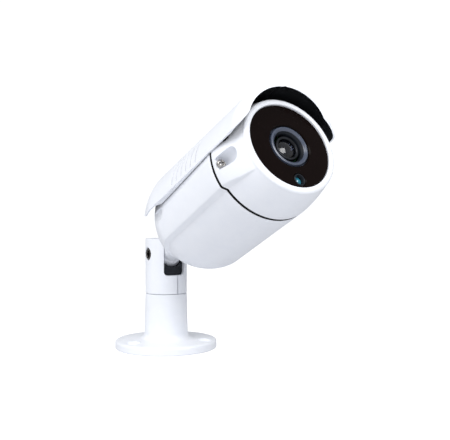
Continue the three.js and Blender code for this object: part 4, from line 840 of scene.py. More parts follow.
@dataclass
class WallBracket:
    """The flange and column, the split fork on top of it, the knuckle's cradle and the bracket's screws."""

    flange_radius: float = 35.0
    flange_thickness: float = 5.5
    crown: float = 0.8
    edge_radius: float = 1.5
    screw_circle: float = 28.0
    screw_phase: float = 71.7
    screw_count: int = 3
    screw_hole: float = 2.3
    screw_head: float = 4.6
    screw_head_depth: float = 2.6
    column_foot: float = 15.1
    column_top: float = 14.4
    column_height: float = 37.4
    fillet: float = 4.2
    chamber_radius: float = 11.9
    roof: float = 4.0
    spigot_radius: float = 9.0
    spigot_length: float = 12.0
    bore: float = 5.0
    gap: float = 0.3
    fork_top: float = 75.4
    fork_bore: float = 11.5
    sill: float = 50.3
    slot_width: float = 15.8
    slot_corner: float = 2.5
    slit_width: float = 0.6
    slit_offset: float = 1.5
    pivot_height: float = 64.7
    knuckle_radius: float = 10.9
    neck_radius: float = 8.3
    pivot_screw: float = 4.0
    pan_screw: float = 2.2
    pan_screw_height: float = 43.4
    screw_face: float = 13.9  # from the column's middle to the mouth of a socket screw

    def build(self) -> None:
        """Builds and dresses every piece of the bracket."""
        settle(self.base(), Body.BASE, Slot.WHITE_COAT, WHITE_POWDER_COAT, "base")
        settle(self.fork(), Body.FORK, Slot.WHITE_COAT, WHITE_POWDER_COAT, "fork")
        settle(self.cradle(), Body.FORK, Slot.BLACK_PLASTIC, BLACK_NYLON, "knuckle_cradle")
        for side, node in ((Side.NEAR, "pivot_screw_1"), (Side.FAR, "pivot_screw_2")):
            screw = SocketScrew(self.pivot_screw, 2.3, 2.2, 5.8, 2.5, 3.0)
            axes = Axes(np.array([side.value * self.screw_face, 0, self.pivot_height]) * MM, Y, Z, X)
            if side is Side.NEAR:
                axes = axes.reversed()
            settle(screw.mesh(f"{node}_fine", axes), Body.FORK, Slot.SCREW_STEEL, OXIDE_STEEL, node)
        lock = SocketScrew(self.pan_screw, 1.25, 1.4, 4.0, 1.5, 1.5)
        axes = Axes(np.array([0, self.screw_face, self.pan_screw_height]) * MM, Z, X, Y)
        screw = lock.mesh("pan_lock_screw_fine", axes)
        settle(screw, Body.FORK, Slot.SCREW_STEEL, OXIDE_STEEL, "pan_lock_screw")

    def base(self) -> bpy.types.Object:
        """Turns the flange and column, with arcs at the rim and the foot, and cuts the screw holes.

        Returns:
            The new piece.
        """
        crown_height = self.flange_thickness + self.crown
        foot = self.column_foot + self.fillet
        rim = arc((self.flange_radius - self.edge_radius, self.flange_thickness - self.edge_radius),
                  self.edge_radius, 0, 84)
        slope = np.linspace(0, 1, 10)[1:-1, None]
        top = np.hstack([
            rim[-1, 0] + (foot - rim[-1, 0]) * slope,
            rim[-1, 1] + (crown_height - rim[-1, 1]) * np.sin(slope * np.pi / 2),
        ])
        fillet = arc((foot, crown_height + self.fillet), self.fillet, 270, 180, 12)
        height = self.column_height
        spigot_top, roof = height + self.spigot_length, height - self.roof
        body = turned("base_fine", np.vstack([
            [(self.chamber_radius, 0), (self.flange_radius - 0.4, 0), (self.flange_radius, 0.4)],
            rim, top, fillet,
            [(self.column_top, height - 0.3), (self.column_top - 0.3, height)],
            [(self.spigot_radius, height), (self.spigot_radius, spigot_top)],
            [(self.bore, spigot_top), (self.bore, roof)],
            [(self.chamber_radius, roof)],
        ]), UPRIGHT)
        pitch = 360 / self.screw_count
        holes = [self.countersink(self.screw_phase + pitch * k) for k in range(self.screw_count)]
        return combine(body, "DIFFERENCE", *holes)

    def countersink(self, degrees: float) -> bpy.types.Object:
        """The space of a countersunk screw hole through the flange.

        Args:
            degrees: the hole's place on the screw circle, from +X.

        Returns:
            The space, as a turned solid.
        """
        turn = math.radians(degrees)
        axes = UPRIGHT.moved(self.screw_circle * math.cos(turn), self.screw_circle * math.sin(turn))
        shoulder = self.flange_thickness - self.screw_head_depth
        profile = [
            (0, -1), (self.screw_hole, -1), (self.screw_hole, shoulder),
            (self.screw_head, self.flange_thickness), (self.screw_head + 0.4, self.flange_thickness + 0.5),
            (self.screw_head + 0.4, self.flange_thickness + 3), (0, self.flange_thickness + 3),
        ]
        return turned("hole", np.array(profile, float), axes, MEDIUM)

    def fork(self) -> bpy.types.Object:
        """Turns the fork's tube and cuts its slot, with round lower corners, its slit and screw holes.

        Returns:
            The new piece.
        """
        foot, inner, outer = self.column_height + self.gap, self.spigot_radius + self.gap, self.column_top
        body = turned("fork_fine", np.array([
            (inner, foot), (outer - 0.3, foot), (outer, foot + 0.3),
            (outer, self.fork_top - 0.4), (outer - 0.12, self.fork_top - 0.12), (outer - 0.4, self.fork_top),
            (self.fork_bore + 0.3, self.fork_top), (self.fork_bore, self.fork_top - 0.3),
            (self.fork_bore, self.sill), (inner, self.sill),
        ], float), UPRIGHT)
        half, reach = self.slot_width / 2, 20.0
        corner = self.slot_corner
        floor = np.vstack([
            [(-half, self.fork_top + 2)], arc((corner - half, self.sill + corner), corner, 180, 270),
            arc((half - corner, self.sill + corner), corner, 270, 360), [(half, self.fork_top + 2)],
        ])
        across_axes = Axes(np.zeros(3), X, Z, -Y)
        slot = rings("slot", across_axes.place(floor[:, 0], floor[:, 1], np.array([[0.0], [reach]])), False)
        slit_low, slit_high = self.slit_offset - self.slit_width / 2, self.slit_offset + self.slit_width / 2
        slit = slab("slit", (slit_low, -reach, foot - 2), (slit_high, 0, self.sill + 2), UPRIGHT)
        holes = []
        for side in Side:
            axes = Axes(np.array([0, 0, self.pivot_height]) * MM, Y, Z, X)
            axes = axes.reversed() if side is Side.NEAR else axes
            hole = self.pivot_screw + self.gap
            profile = [(0, 9), (hole, 9), (hole, 13.75), (hole + 0.45, 14.5), (hole + 0.45, 17), (0, 17)]
            holes.append(turned("hole", np.array(profile, float), axes, MEDIUM))
        lock_axes = Axes(np.array([0, 0, self.pan_screw_height * MM]), Z, X, Y)
        lock = rod("hole", self.pan_screw + self.gap, 7, 17, lock_axes)
        return ease(combine(body, "DIFFERENCE", slot, slit, *holes, lock), 0.15)

    def cradle(self) -> bpy.types.Object:
        """Turns the cradle's cup and cuts the knuckle's ball seat and the neck's trough from it.

        Returns:
            The new piece.
        """
        low, high = self.sill + self.gap, self.pivot_height - 0.3 * self.knuckle_radius
        outer = self.fork_bore - self.gap
        body = turned("knuckle_cradle_fine", np.array(
            [(self.bore, low), (outer, low), (outer, high), (self.bore, high)], float), UPRIGHT, FINE)
        seat = self.knuckle_radius + self.gap
        half_turn = np.linspace(-90, 90, 49)
        ball = np.stack([seat * np.cos(np.radians(half_turn)), seat * np.sin(np.radians(half_turn))], -1)
        ball[[0, -1], 0] = 0
        lifted = UPRIGHT.moved(along=self.pivot_height)
        trough_axes = Axes(lifted.origin, Z, X, Y)
        screw_axes = Axes(lifted.origin, Y, Z, X)
        tools = [
            turned("seat", ball, lifted, FINE),
            rod("trough", self.neck_radius + self.gap, -20, 20, trough_axes, FINE),
            rod("room", self.pivot_screw + 2 * self.gap, -20, 20, screw_axes),
        ]
        return ease(combine(body, "DIFFERENCE", *tools), 0.2)


# ---------------------------------------------------------------- arm


@dataclass
class SwivelArm:
    """The knuckle with its neck, and the collar and stud that the barrel turns on."""

    knuckle_radius: float = 10.9
    knuckle_width: float = 15.0
    neck_radius: float = 8.3
    axis_drop: float = 1.9
    collar_radius: float = 8.0
    collar_start: float = 17.0
    collar_end: float = 24.0
    stud_radius: float = 5.0
    stud_length: float = 12.0

    def build(self) -> None:
        """Builds the arm and dresses what goes with it."""
        settle(self.arm(), Body.ARM, Slot.WHITE_COAT, WHITE_POWDER_COAT, "arm")
        dress(BLACK_SILICONE, "arm_seal", "cable_grommet")
        dress(HEADED_STEEL, "roll_nut")

    def arm(self) -> bpy.types.Object:
        """Carries a round section from the knuckle's back to the stud's end.

        The radius is the ball's, sqrt(R^2 - s^2), until it falls to the neck's. The section's sides are
        pressed flat: across = a / (1 + (a / half width)^12)^(1/12), where a is the circle's distance across.

        Returns:
            The new piece.
        """
        angle = np.linspace(0, 2 * np.pi, FINE, endpoint=False)
        meet = math.sqrt(self.knuckle_radius**2 - self.neck_radius**2)
        last = math.degrees(math.asin(meet / self.knuckle_radius))
        back = self.knuckle_radius * np.sin(np.radians(np.linspace(-89, last, 36)))
        station = np.concatenate([back, np.linspace(meet + 1, self.collar_start - 0.4, 8)])
        ball = np.sqrt(np.clip(self.knuckle_radius**2 - station**2, 0, None))
        radius = np.where(station <= meet, ball, self.neck_radius)
        across = radius[:, None] * np.sin(angle)
        half = self.knuckle_width / 2
        pressed = across / (1 + np.abs(across / half) ** 12) ** (1 / 12)
        up = self.axis_drop + radius[:, None] * np.cos(angle)
        tongue = BARREL.place(pressed, up, station[:, None])
        end, tip = self.collar_end, self.collar_end + self.stud_length
        turned_part = np.array([
            (self.collar_radius - 0.8, self.collar_start), (self.collar_radius, self.collar_start + 0.8),
            (self.collar_radius, end - 0.5), (self.collar_radius - 0.5, end),
            (self.stud_radius, end), (self.stud_radius, tip - 0.5), (self.stud_radius - 0.5, tip),
        ])
        width = turned_part[:, :1]
        collar = BARREL.place(width * np.sin(angle), width * np.cos(angle), turned_part[:, 1:])
        return rings("arm_fine", np.concatenate([tongue, collar]), False)


# ---------------------------------------------------------------- barrel


@dataclass
class Barrel:
    """The stepped housing, its gasket and the front cap with its two screws.

    A section across the barrel has a larger radius above a step line on each flank and a smaller one below.
    """

    upper: float = 34.1
    lower: float = 31.6
    step_half_width: float = 28.2
    step_drop: float = 14.1
    step_slope: float = 0.4
    step_blend: float = 0.8  # degrees that the step's corners are rounded over
    seat: float = 25.6
    dome_tip: float = 22.0
    dome_end: float = 60.0
    dome_power: float = 1.5
    housing_front: float = 127.75
    rear_wall: float = 5.0
    housing_bore: float = 29.0
    stud_hole: float = 5.3
    gap: float = 0.3
    gasket_thickness: float = 1.65
    gasket_recess: float = 0.08
    cap_rear: float = 129.5
    cap_length: float = 24.5
    bezel_radius: float = 28.1
    opening: float = 24.6
    lip_set_back: float = 1.1
    lip_thickness: float = 1.0
    cap_bore: float = 26.0
    carrier_bore: float = 27.0
    skirt_radius: float = 28.7
    skirt_length: float = 7.0
    shoulder: float = 5.8
    screw_angle: float = 93.0
    screw_circle: float = 31.2
    screw_seat: float = 2.8
    scoop_radius: float = 4.2
    scoop_length: float = 11.0
    hollow_end: float = 62.3
    hollow_radius: float = 9.0
    hollow_depth: float = 1.7
    hollow_top: float = 5.6

    def build(self) -> None:
        """Builds and dresses the barrel's outer pieces."""
        settle(self.housing(), Body.CAMERA, Slot.WHITE_COAT, WHITE_POWDER_COAT, "housing")
        settle(self.gasket(), Body.CAMERA, Slot.BLACK_RUBBER, BLACK_SILICONE, "cap_gasket")
        settle(self.cap(), Body.CAMERA, Slot.WHITE_COAT, WHITE_POWDER_COAT, "front_cap")
        screw = CrossScrew(2.6, 2.2, 1.4, 11.0, self.cap_rear + self.screw_seat)
        for side, node in ((Side.NEAR, "cap_screw_1"), (Side.FAR, "cap_screw_2")):
            axes = BARREL.moved(*on_circle(self.screw_circle, side.value * self.screw_angle))
            settle(screw.mesh(f"{node}_fine", axes), Body.CAMERA, Slot.SCREW_STEEL, HEADED_STEEL, node)

    def angles(self) -> np.ndarray:
        """Places round a section, in radians from the top: close together where the step can be."""
        half = np.concatenate([np.arange(0, 100, 3.0), np.arange(100, 180, 0.6)])
        return np.radians(np.concatenate([half, [180.0], 360 - half[:0:-1]]))

    def radius_at(self, angle: np.ndarray, upper: np.ndarray, lower: np.ndarray) -> np.ndarray:
        """The section's radius at each angle.

        Below the axis the step line is reached at drop / -cos(angle), or, outside the step's corner, where
        the sloping facet lies. The radius is that distance held between the lower and upper radii, and
        averaged over a few tenths of a degree to round the step's corners.

        Args:
            angle: angles from the top, in radians.
            upper: radii above the step, one for each row.
            lower: radii below it.

        Returns:
            Radii, rows by angles.
        """
        total = 0
        offsets = np.radians(np.linspace(-self.step_blend, self.step_blend, 5))
        for offset in offsets:
            turn = np.abs((angle + offset + np.pi) % (2 * np.pi) - np.pi)
            down, out = -np.cos(turn), np.sin(turn)
            flat = self.step_drop / np.maximum(down, 1e-6)
            rise = self.step_drop + self.step_slope * self.step_half_width
            sloped = rise / np.maximum(down + self.step_slope * out, 1e-6)
            line = np.where(flat * out > self.step_half_width, sloped, flat)
            line = np.where(down > 0.05, line, 1e3)
            total = total + np.clip(line, lower[:, None], upper[:, None])
        return total / len(offsets)

    def stepped(self, name: str, rows: np.ndarray) -> bpy.types.Object:
        """A ring-like solid of stepped sections, closed on itself.

        Args:
            name: the object's name.
            rows: upper radius, lower radius and station of each section.

        Returns:
            The new object.
        """
        angle = self.angles()
        radius = self.radius_at(angle, rows[:, 0], rows[:, 1])
        return rings(name, BARREL.place(radius * np.sin(angle), radius * np.cos(angle), rows[:, 2:]), True)

    def dome(self, station: np.ndarray, full: float, length: float) -> np.ndarray:
        """Radii of the rounded end: full * (1 - along^p)^(1/p), where along runs back from the dome's end."""
        along = np.clip((self.dome_end - station) / length, 0, 1)
        return full * (1 - along**self.dome_power) ** (1 / self.dome_power)

    def housing(self) -> bpy.types.Object:
        """Lofts the housing's outside, mouth and inside as one closed skin, and cuts the rear hollows.

        Returns:
            The new piece.
        """
        share = np.linspace(0, 1, 40)
        outer = self.seat + (self.dome_end - self.seat) * share**1.3
        length = self.dome_end - self.dome_tip
        upper, lower = (self.dome(outer, full, length) for full in (self.upper, self.lower))
        skin = np.stack([upper, lower, outer], -1)
        front = self.housing_front
        straight = np.array([
            (self.upper, self.lower, station) for station in np.linspace(self.dome_end + 2, front - 0.35, 24)
        ])
        mouth = np.array([
            (self.upper - 0.1, self.lower - 0.1, front - 0.1), (self.upper - 0.35, self.lower - 0.35, front),
            (self.housing_bore, self.housing_bore, front),
        ])
        floor = self.seat + self.rear_wall
        inner = np.linspace(self.dome_end, floor, 24)
        inside = self.dome(inner, self.housing_bore, length - self.rear_wall + 1)
        hollow = np.stack([inside, inside, inner], -1)
        hole = self.stud_hole
        stud = np.array([(hole, hole, floor), (hole, hole, self.seat)])
        body = self.stepped("housing_fine", np.vstack([skin, straight, mouth, hollow, stud]))
        return combine(body, "DIFFERENCE", *[self.hollow(side) for side in Side])

    def hollow(self, side: Side) -> bpy.types.Object:
        """The space of the shallow hollow on one flank: a round-ended bar under a straight top.

        Args:
            side: the flank.

        Returns:
            The space, as a solid.
        """
        across = side.value * (self.upper + self.hollow_radius - self.hollow_depth)
        centre = self.hollow_top - self.hollow_radius / 4
        end = arc((0, self.hollow_end), self.hollow_radius, 0, 90, 16)
        end[-1, 0] = 0
        bar = turned("hollow", np.vstack([[(0, 20), (self.hollow_radius, 20)], end]),
                     BARREL.moved(across, centre), FINE)
        roof = slab("roof", (-90, -90, 0), (90, self.hollow_top, 120), BARREL)
        return combine(bar, "INTERSECT", roof)

    def gasket(self) -> bpy.types.Object:
        """Lofts the gasket as a ring with a softly bulging edge.

        Returns:
            The new piece.
        """
        rear = self.housing_front + 0.05
        upper, lower = self.upper - self.gasket_recess, self.lower - self.gasket_recess
        bore = self.skirt_radius + self.gap
        share = np.linspace(0, np.pi, 7)
        bulge = 0.1 * (np.sin(share) - 1)
        station = rear + self.gasket_thickness * (1 - np.cos(share)) / 2
        edge = np.stack([upper + bulge, lower + bulge, station], -1)
        return self.stepped("cap_gasket_fine", np.vstack([
            edge, [(bore, bore, rear + self.gasket_thickness), (bore, bore, rear)]
        ]))

    def cap(self) -> bpy.types.Object:
        """Lofts the cap: its stepped flank falls to the bezel as radius = bezel + fall * (1 - share^1.6).

        Returns:
            The new piece.
        """
        rear, front = self.cap_rear, self.cap_rear + self.cap_length
        share = np.linspace(0, 1, 34)
        station = rear + 0.35 + (self.cap_length - 2.35) * share
        fall = 1 - share**1.6
        flank = np.stack([
            self.bezel_radius + (self.upper - self.bezel_radius) * fall,
            self.bezel_radius + (self.lower - self.bezel_radius) * fall,
            station,
        ], -1)
        nose = arc((self.bezel_radius - 2.0, front - 2.0), 2.0, 6, 90, 9)
        lip = arc((self.opening + 0.9, front - 0.9), 0.9, 110, 180, 6)
        lip_front = front - self.lip_set_back
        lip_rear = lip_front - self.lip_thickness
        circles = np.vstack([
            nose, lip,
            [(self.opening, lip_rear), (self.cap_bore, lip_rear), (self.cap_bore, rear + self.shoulder)],
            [(self.carrier_bore, rear + self.shoulder), (self.carrier_bore, rear - self.skirt_length)],
            [(self.skirt_radius, rear - self.skirt_length), (self.skirt_radius, rear)],
        ])
        round_part = np.stack([circles[:, 0], circles[:, 0], circles[:, 1]], -1)
        heel = np.array([
            (self.upper - 0.35, self.lower - 0.35, rear), (self.upper - 0.1, self.lower - 0.1, rear + 0.1)
        ])
        body = self.stepped("front_cap_fine", np.vstack([heel, flank, round_part]))
        return combine(body, "DIFFERENCE", *[self.scoop(side) for side in Side])

    def scoop(self, side: Side) -> bpy.types.Object:
        """The space of the scooped way in front of a cap screw, with a round front end.

        Args:
            side: the flank.

        Returns:
            The space, as a turned solid.
        """
        seat = self.cap_rear + self.screw_seat - self.gap
        end = arc((0, seat + self.scoop_length), self.scoop_radius, 0, 90, 12)
        end[-1, 0] = 0
        axes = BARREL.moved(*on_circle(self.screw_circle, side.value * self.screw_angle))
        return turned("scoop", np.vstack([[(0, seat), (self.scoop_radius, seat)], end]), axes, MEDIUM)


# ---------------------------------------------------------------- sunshield


@dataclass
class Sunshield:
    """The sliding sunshield: a trough of cast metal, white outside and black under, with louvre grooves."""

    wall: float = 1.1
    body_radius: float = 34.1
    gap: float = 0.3
    taper: float = 0.0455
    taper_end: float = 127.75
    edge_height: float = 7.0
    edge_gap: float = 0.5  # between the lower edges, which curl in, and the barrel
    curl_start: float = 62.0
    rear: float = 40.0
    shoulder: float = 60.0
    rear_corner: float = 13.0
    rear_corner_end: float = 75.0  # station where the rear corner's rounding has died out
    rear_drop: float = 5.6
    sweep: float = 149.5
    sweep_rise: float = 10.0
    slope_start: float = 120.0  # station where the rows begin to lean towards the sloping rim
    front_low: float = 158.2
    front_top: float = 162.2
    lip_length: float = 6.0
    lip_drop: float = 2.8
    corner_drop: float = 1.5
    louvre_count: int = 6
    louvre_pitch: float = 5.4
    louvre_first: float = 87.7
    louvre_width: float = 0.9
    louvre_depth: float = 0.85
    louvre_low: float = 74.5
    louvre_high: float = 50.0
    crease_height: float = 0.6
    crease_width: float = 1.0
    screw_stations: tuple[float, float] = (72.0, 100.0)
    travel: float = 8.0
    screw_hole: float = 1.8

    def build(self) -> None:
        """Builds the sunshield and its screws and dresses its pads and spacers."""
        shield = settle(self.shell(), Body.SHIELD, Slot.WHITE_COAT, WHITE_POWDER_COAT, "sunshield")
        self.blacken(shield)
        for number, station in enumerate(self.screw_stations, 1):
            top = self.body_radius + self.gap
            seat = float(self.radius(np.array(station - self.travel))) + self.gap
            origin = BARREL.moved(along=station)
            axes = Axes(origin.origin, BARREL.across, -BARREL.along, BARREL.up)
            screw = CrossScrew(3.0, 1.6, 1.5, seat - top + 3.9, seat)
            node = f"sunshield_screw_{number}"
            settle(screw.mesh(f"{node}_fine", axes), Body.CAMERA, Slot.SCREW_STEEL, HEADED_STEEL, node)
        dress(HEADED_STEEL, "sunshield_spacer_1", "sunshield_spacer_2")
        dress(BLACK_SILICONE, "sunshield_bumper_1", "sunshield_bumper_2")

    def radius(self, station: np.ndarray) -> np.ndarray:
        """Outer radius along the shield before its lip: a slow cone, less rear_drop * share^1.6 at the rear.

        Args:
            station: stations of the points.

        Returns:
            The radius at each.
        """
        cone = self.body_radius + self.gap + self.wall + self.taper * (self.taper_end - station)
        rear = np.clip((self.shoulder - station) / (self.shoulder - self.rear), 0, 1.2)
        return cone - self.rear_drop * rear**1.6

    def louvre_middle(self) -> float:
        """Returns the station halfway along the row of louvres."""
        return self.louvre_first + self.louvre_pitch * (self.louvre_count - 1) / 2

    def grooves(self, station: np.ndarray, degrees: np.ndarray) -> np.ndarray:
        """Depth of the louvre grooves: smooth-walled bands at even stations, between two angles.

        A wall is the logistic curve 1 / (1 + e^(distance past the wall / softness)).

        Args:
            station: stations of the points.
            degrees: their angles from the top.

        Returns:
            The depth at each point.
        """
        first, pitch = self.louvre_first, self.louvre_pitch
        number = np.clip(np.round((station - first) / pitch), 0, self.louvre_count - 1)
        away = np.abs(station - first - number * pitch)
        band = 1 / (1 + np.exp((away - self.louvre_width / 2) / 0.03))
        turn = np.abs(degrees)
        above = 1 / (1 + np.exp((turn - self.louvre_low) / 0.4))
        below = 1 / (1 + np.exp((self.louvre_high - turn) / 0.4))
        return self.louvre_depth * band * above * below

    def stations(self) -> np.ndarray:
        """Stations of the rows: close together across each louvre and at the two ends.

        Returns:
            Stations in rising order.
        """
        centres = self.louvre_first + self.louvre_pitch * np.arange(self.louvre_count)
        fine = (centres[:, None] + np.linspace(-0.5, 0.5, 15)).ravel()
        return np.unique(np.concatenate([
            np.linspace(self.rear, self.shoulder, 22), np.linspace(62, 85, 9), fine,
            np.linspace(117, 150, 20), np.linspace(150.5, self.front_low, 16),
        ]))

    def shell(self) -> bpy.types.Object:
        """Builds the trough as an outer and an inner sheet with strips between them.

        Each point has a station s and a share q from -1 to 1 across. Its angle is q * acos(edge / radius),
        so that the lower edges are straight. They sweep up to the rim as a quarter of an ellipse. The radius
        falls at the lip by the square of the way along it, and towards its corners by q^4 as well. Near the
        front the stations shift forward with height to reach the sloping rim, and near the rear they shift
        forward at low places to round the corner. At the lower edges the inner sheet curls in to the barrel.

        Returns:
            The new piece.
        """
        base = self.stations()[:, None]
        even = np.linspace(-1, 1, 121)
        share = np.sin(even * np.pi / 2) * 0.35 + even * 0.65
        rise = np.clip((base - self.sweep) / (self.front_low - self.sweep), 0, 1)
        edge = self.edge_height + self.sweep_rise * (1 - np.sqrt(1 - 0.98 * rise**2))
        turned_in = np.clip((base - self.front_low + self.lip_length) / self.lip_length, 0, 1)
        lip = self.lip_drop * turned_in**2 + self.corner_drop * turned_in * share**4
        height = self.radius(base) * np.cos(share * np.arccos(edge / self.radius(base)))
        above = np.clip((height - edge) / (self.body_radius - edge), 0, 1)
        front = np.clip((base - self.slope_start) / (self.front_low - self.slope_start), 0, 1) ** 2
        drop = np.clip((edge + self.rear_corner - height) / self.rear_corner, 0, 1)
        back = np.clip((self.rear_corner_end - base) / (self.rear_corner_end - self.rear), 0, 1) ** 1.5
        corner = self.rear_corner * (1 - np.sqrt(1 - np.clip(drop, 0, 0.999) ** 2))
        station = base + front * above * (self.front_top - self.front_low) + back * corner
        radius = self.radius(station) - lip
        angle = share * np.arccos(np.clip(edge / radius, -1, 1))
        outer = radius - self.grooves(station, np.degrees(angle))
        crease = self.crease_height * np.exp(-((np.degrees(angle) / self.crease_width) ** 2))
        inner = radius - self.wall + crease
        curled = np.clip((np.abs(share) - 0.93) / 0.05, 0, 1) * np.clip((base - self.curl_start) / 6, 0, 1)
        curled = curled * np.clip((self.taper_end - base) / 4, 0, 1)
        inner = inner - curled * np.clip(inner - self.body_radius - self.edge_gap, 0, None)
        inner_angle = share * np.arccos(np.clip(edge / (radius - self.wall), -1, 1))
        top = BARREL.place(outer * np.sin(angle), outer * np.cos(angle), station)
        under = BARREL.place(inner * np.sin(inner_angle), inner * np.cos(inner_angle), station)
        body = self.sheet("sunshield_fine", top, under)
        slots = [self.screw_slot(each) for each in self.screw_stations]
        return ease(combine(body, "DIFFERENCE", *slots), 0.25)

    def sheet(self, name: str, top: np.ndarray, under: np.ndarray) -> bpy.types.Object:
        """A closed solid between two sheets of points of the same shape.

        Args:
            name: the object's name.
            top: the outer sheet's points, rows by columns.
            under: the inner sheet's points.

        Returns:
            The new object.
        """
        rows, columns = top.shape[:2]
        face = quads(rows, columns, False, False)
        count = rows * columns
        number = np.arange(count).reshape(rows, columns)
        rim = np.concatenate([number[0], number[1:, -1], number[-1, -2::-1], number[-2:0:-1, 0]])
        after = np.roll(rim, -1)
        strip = np.stack([rim, after, after + count, rim + count], -1)
        faces = np.concatenate([face[:, ::-1], face + count, strip])
        return build(name, np.concatenate([top.reshape(-1, 3), under.reshape(-1, 3)]), [faces])

    def screw_slot(self, station: float) -> bpy.types.Object:
        """The space of the slot that one screw stands in, with round ends.

        Args:
            station: the screw's station.

        Returns:
            The space, as a solid.
        """
        turn = np.linspace(0, np.pi, 13)
        radius = self.screw_hole
        cosine, sine = radius * np.cos(turn), radius * np.sin(turn)
        across = np.concatenate([cosine, -cosine])
        along = np.concatenate([station + sine, station - self.travel - sine])
        up = np.array([[self.body_radius - 2], [self.body_radius + 9]])
        return rings("slot", BARREL.place(across, up, along), False)

    def blacken(self, shield: bpy.types.Object) -> None:
        """Gives the faces that look towards the optical axis the black coat, and the grooves their own.

        Args:
            shield: the sunshield.
        """
        mesh = shield.data
        mesh.materials.append(BLACK_POWDER_COAT.material())
        mesh.materials.append(GROOVE_PAINTED_SHADE.material())
        centres = np.empty(len(mesh.polygons) * 3, np.float32)
        normals = np.empty(len(mesh.polygons) * 3, np.float32)
        mesh.polygons.foreach_get("center", centres)
        mesh.polygons.foreach_get("normal", normals)
        away = centres.reshape(-1, 3) - BARREL.origin
        radial = away - np.outer(away @ BARREL.along, BARREL.along)
        distance = np.linalg.norm(radial, axis=1)
        facing = np.einsum("ij,ij->i", radial, normals.reshape(-1, 3)) / distance
        station = away @ BARREL.along / MM
        sunk = self.radius(station) - distance / MM
        in_row = np.abs(station - self.louvre_middle()) < self.louvre_pitch * self.louvre_count / 2
        # faces sunk in the grooves take the grey: painted shade for the shadow in them
        groove = (facing > 0.1) & (sunk > self.louvre_depth / 2) & in_row
        index = np.where(facing < -0.8, 1, np.where(groove, 2, 0))
        mesh.polygons.foreach_set("material_index", index.astype(np.int32))


# ---------------------------------------------------------------- window and lens


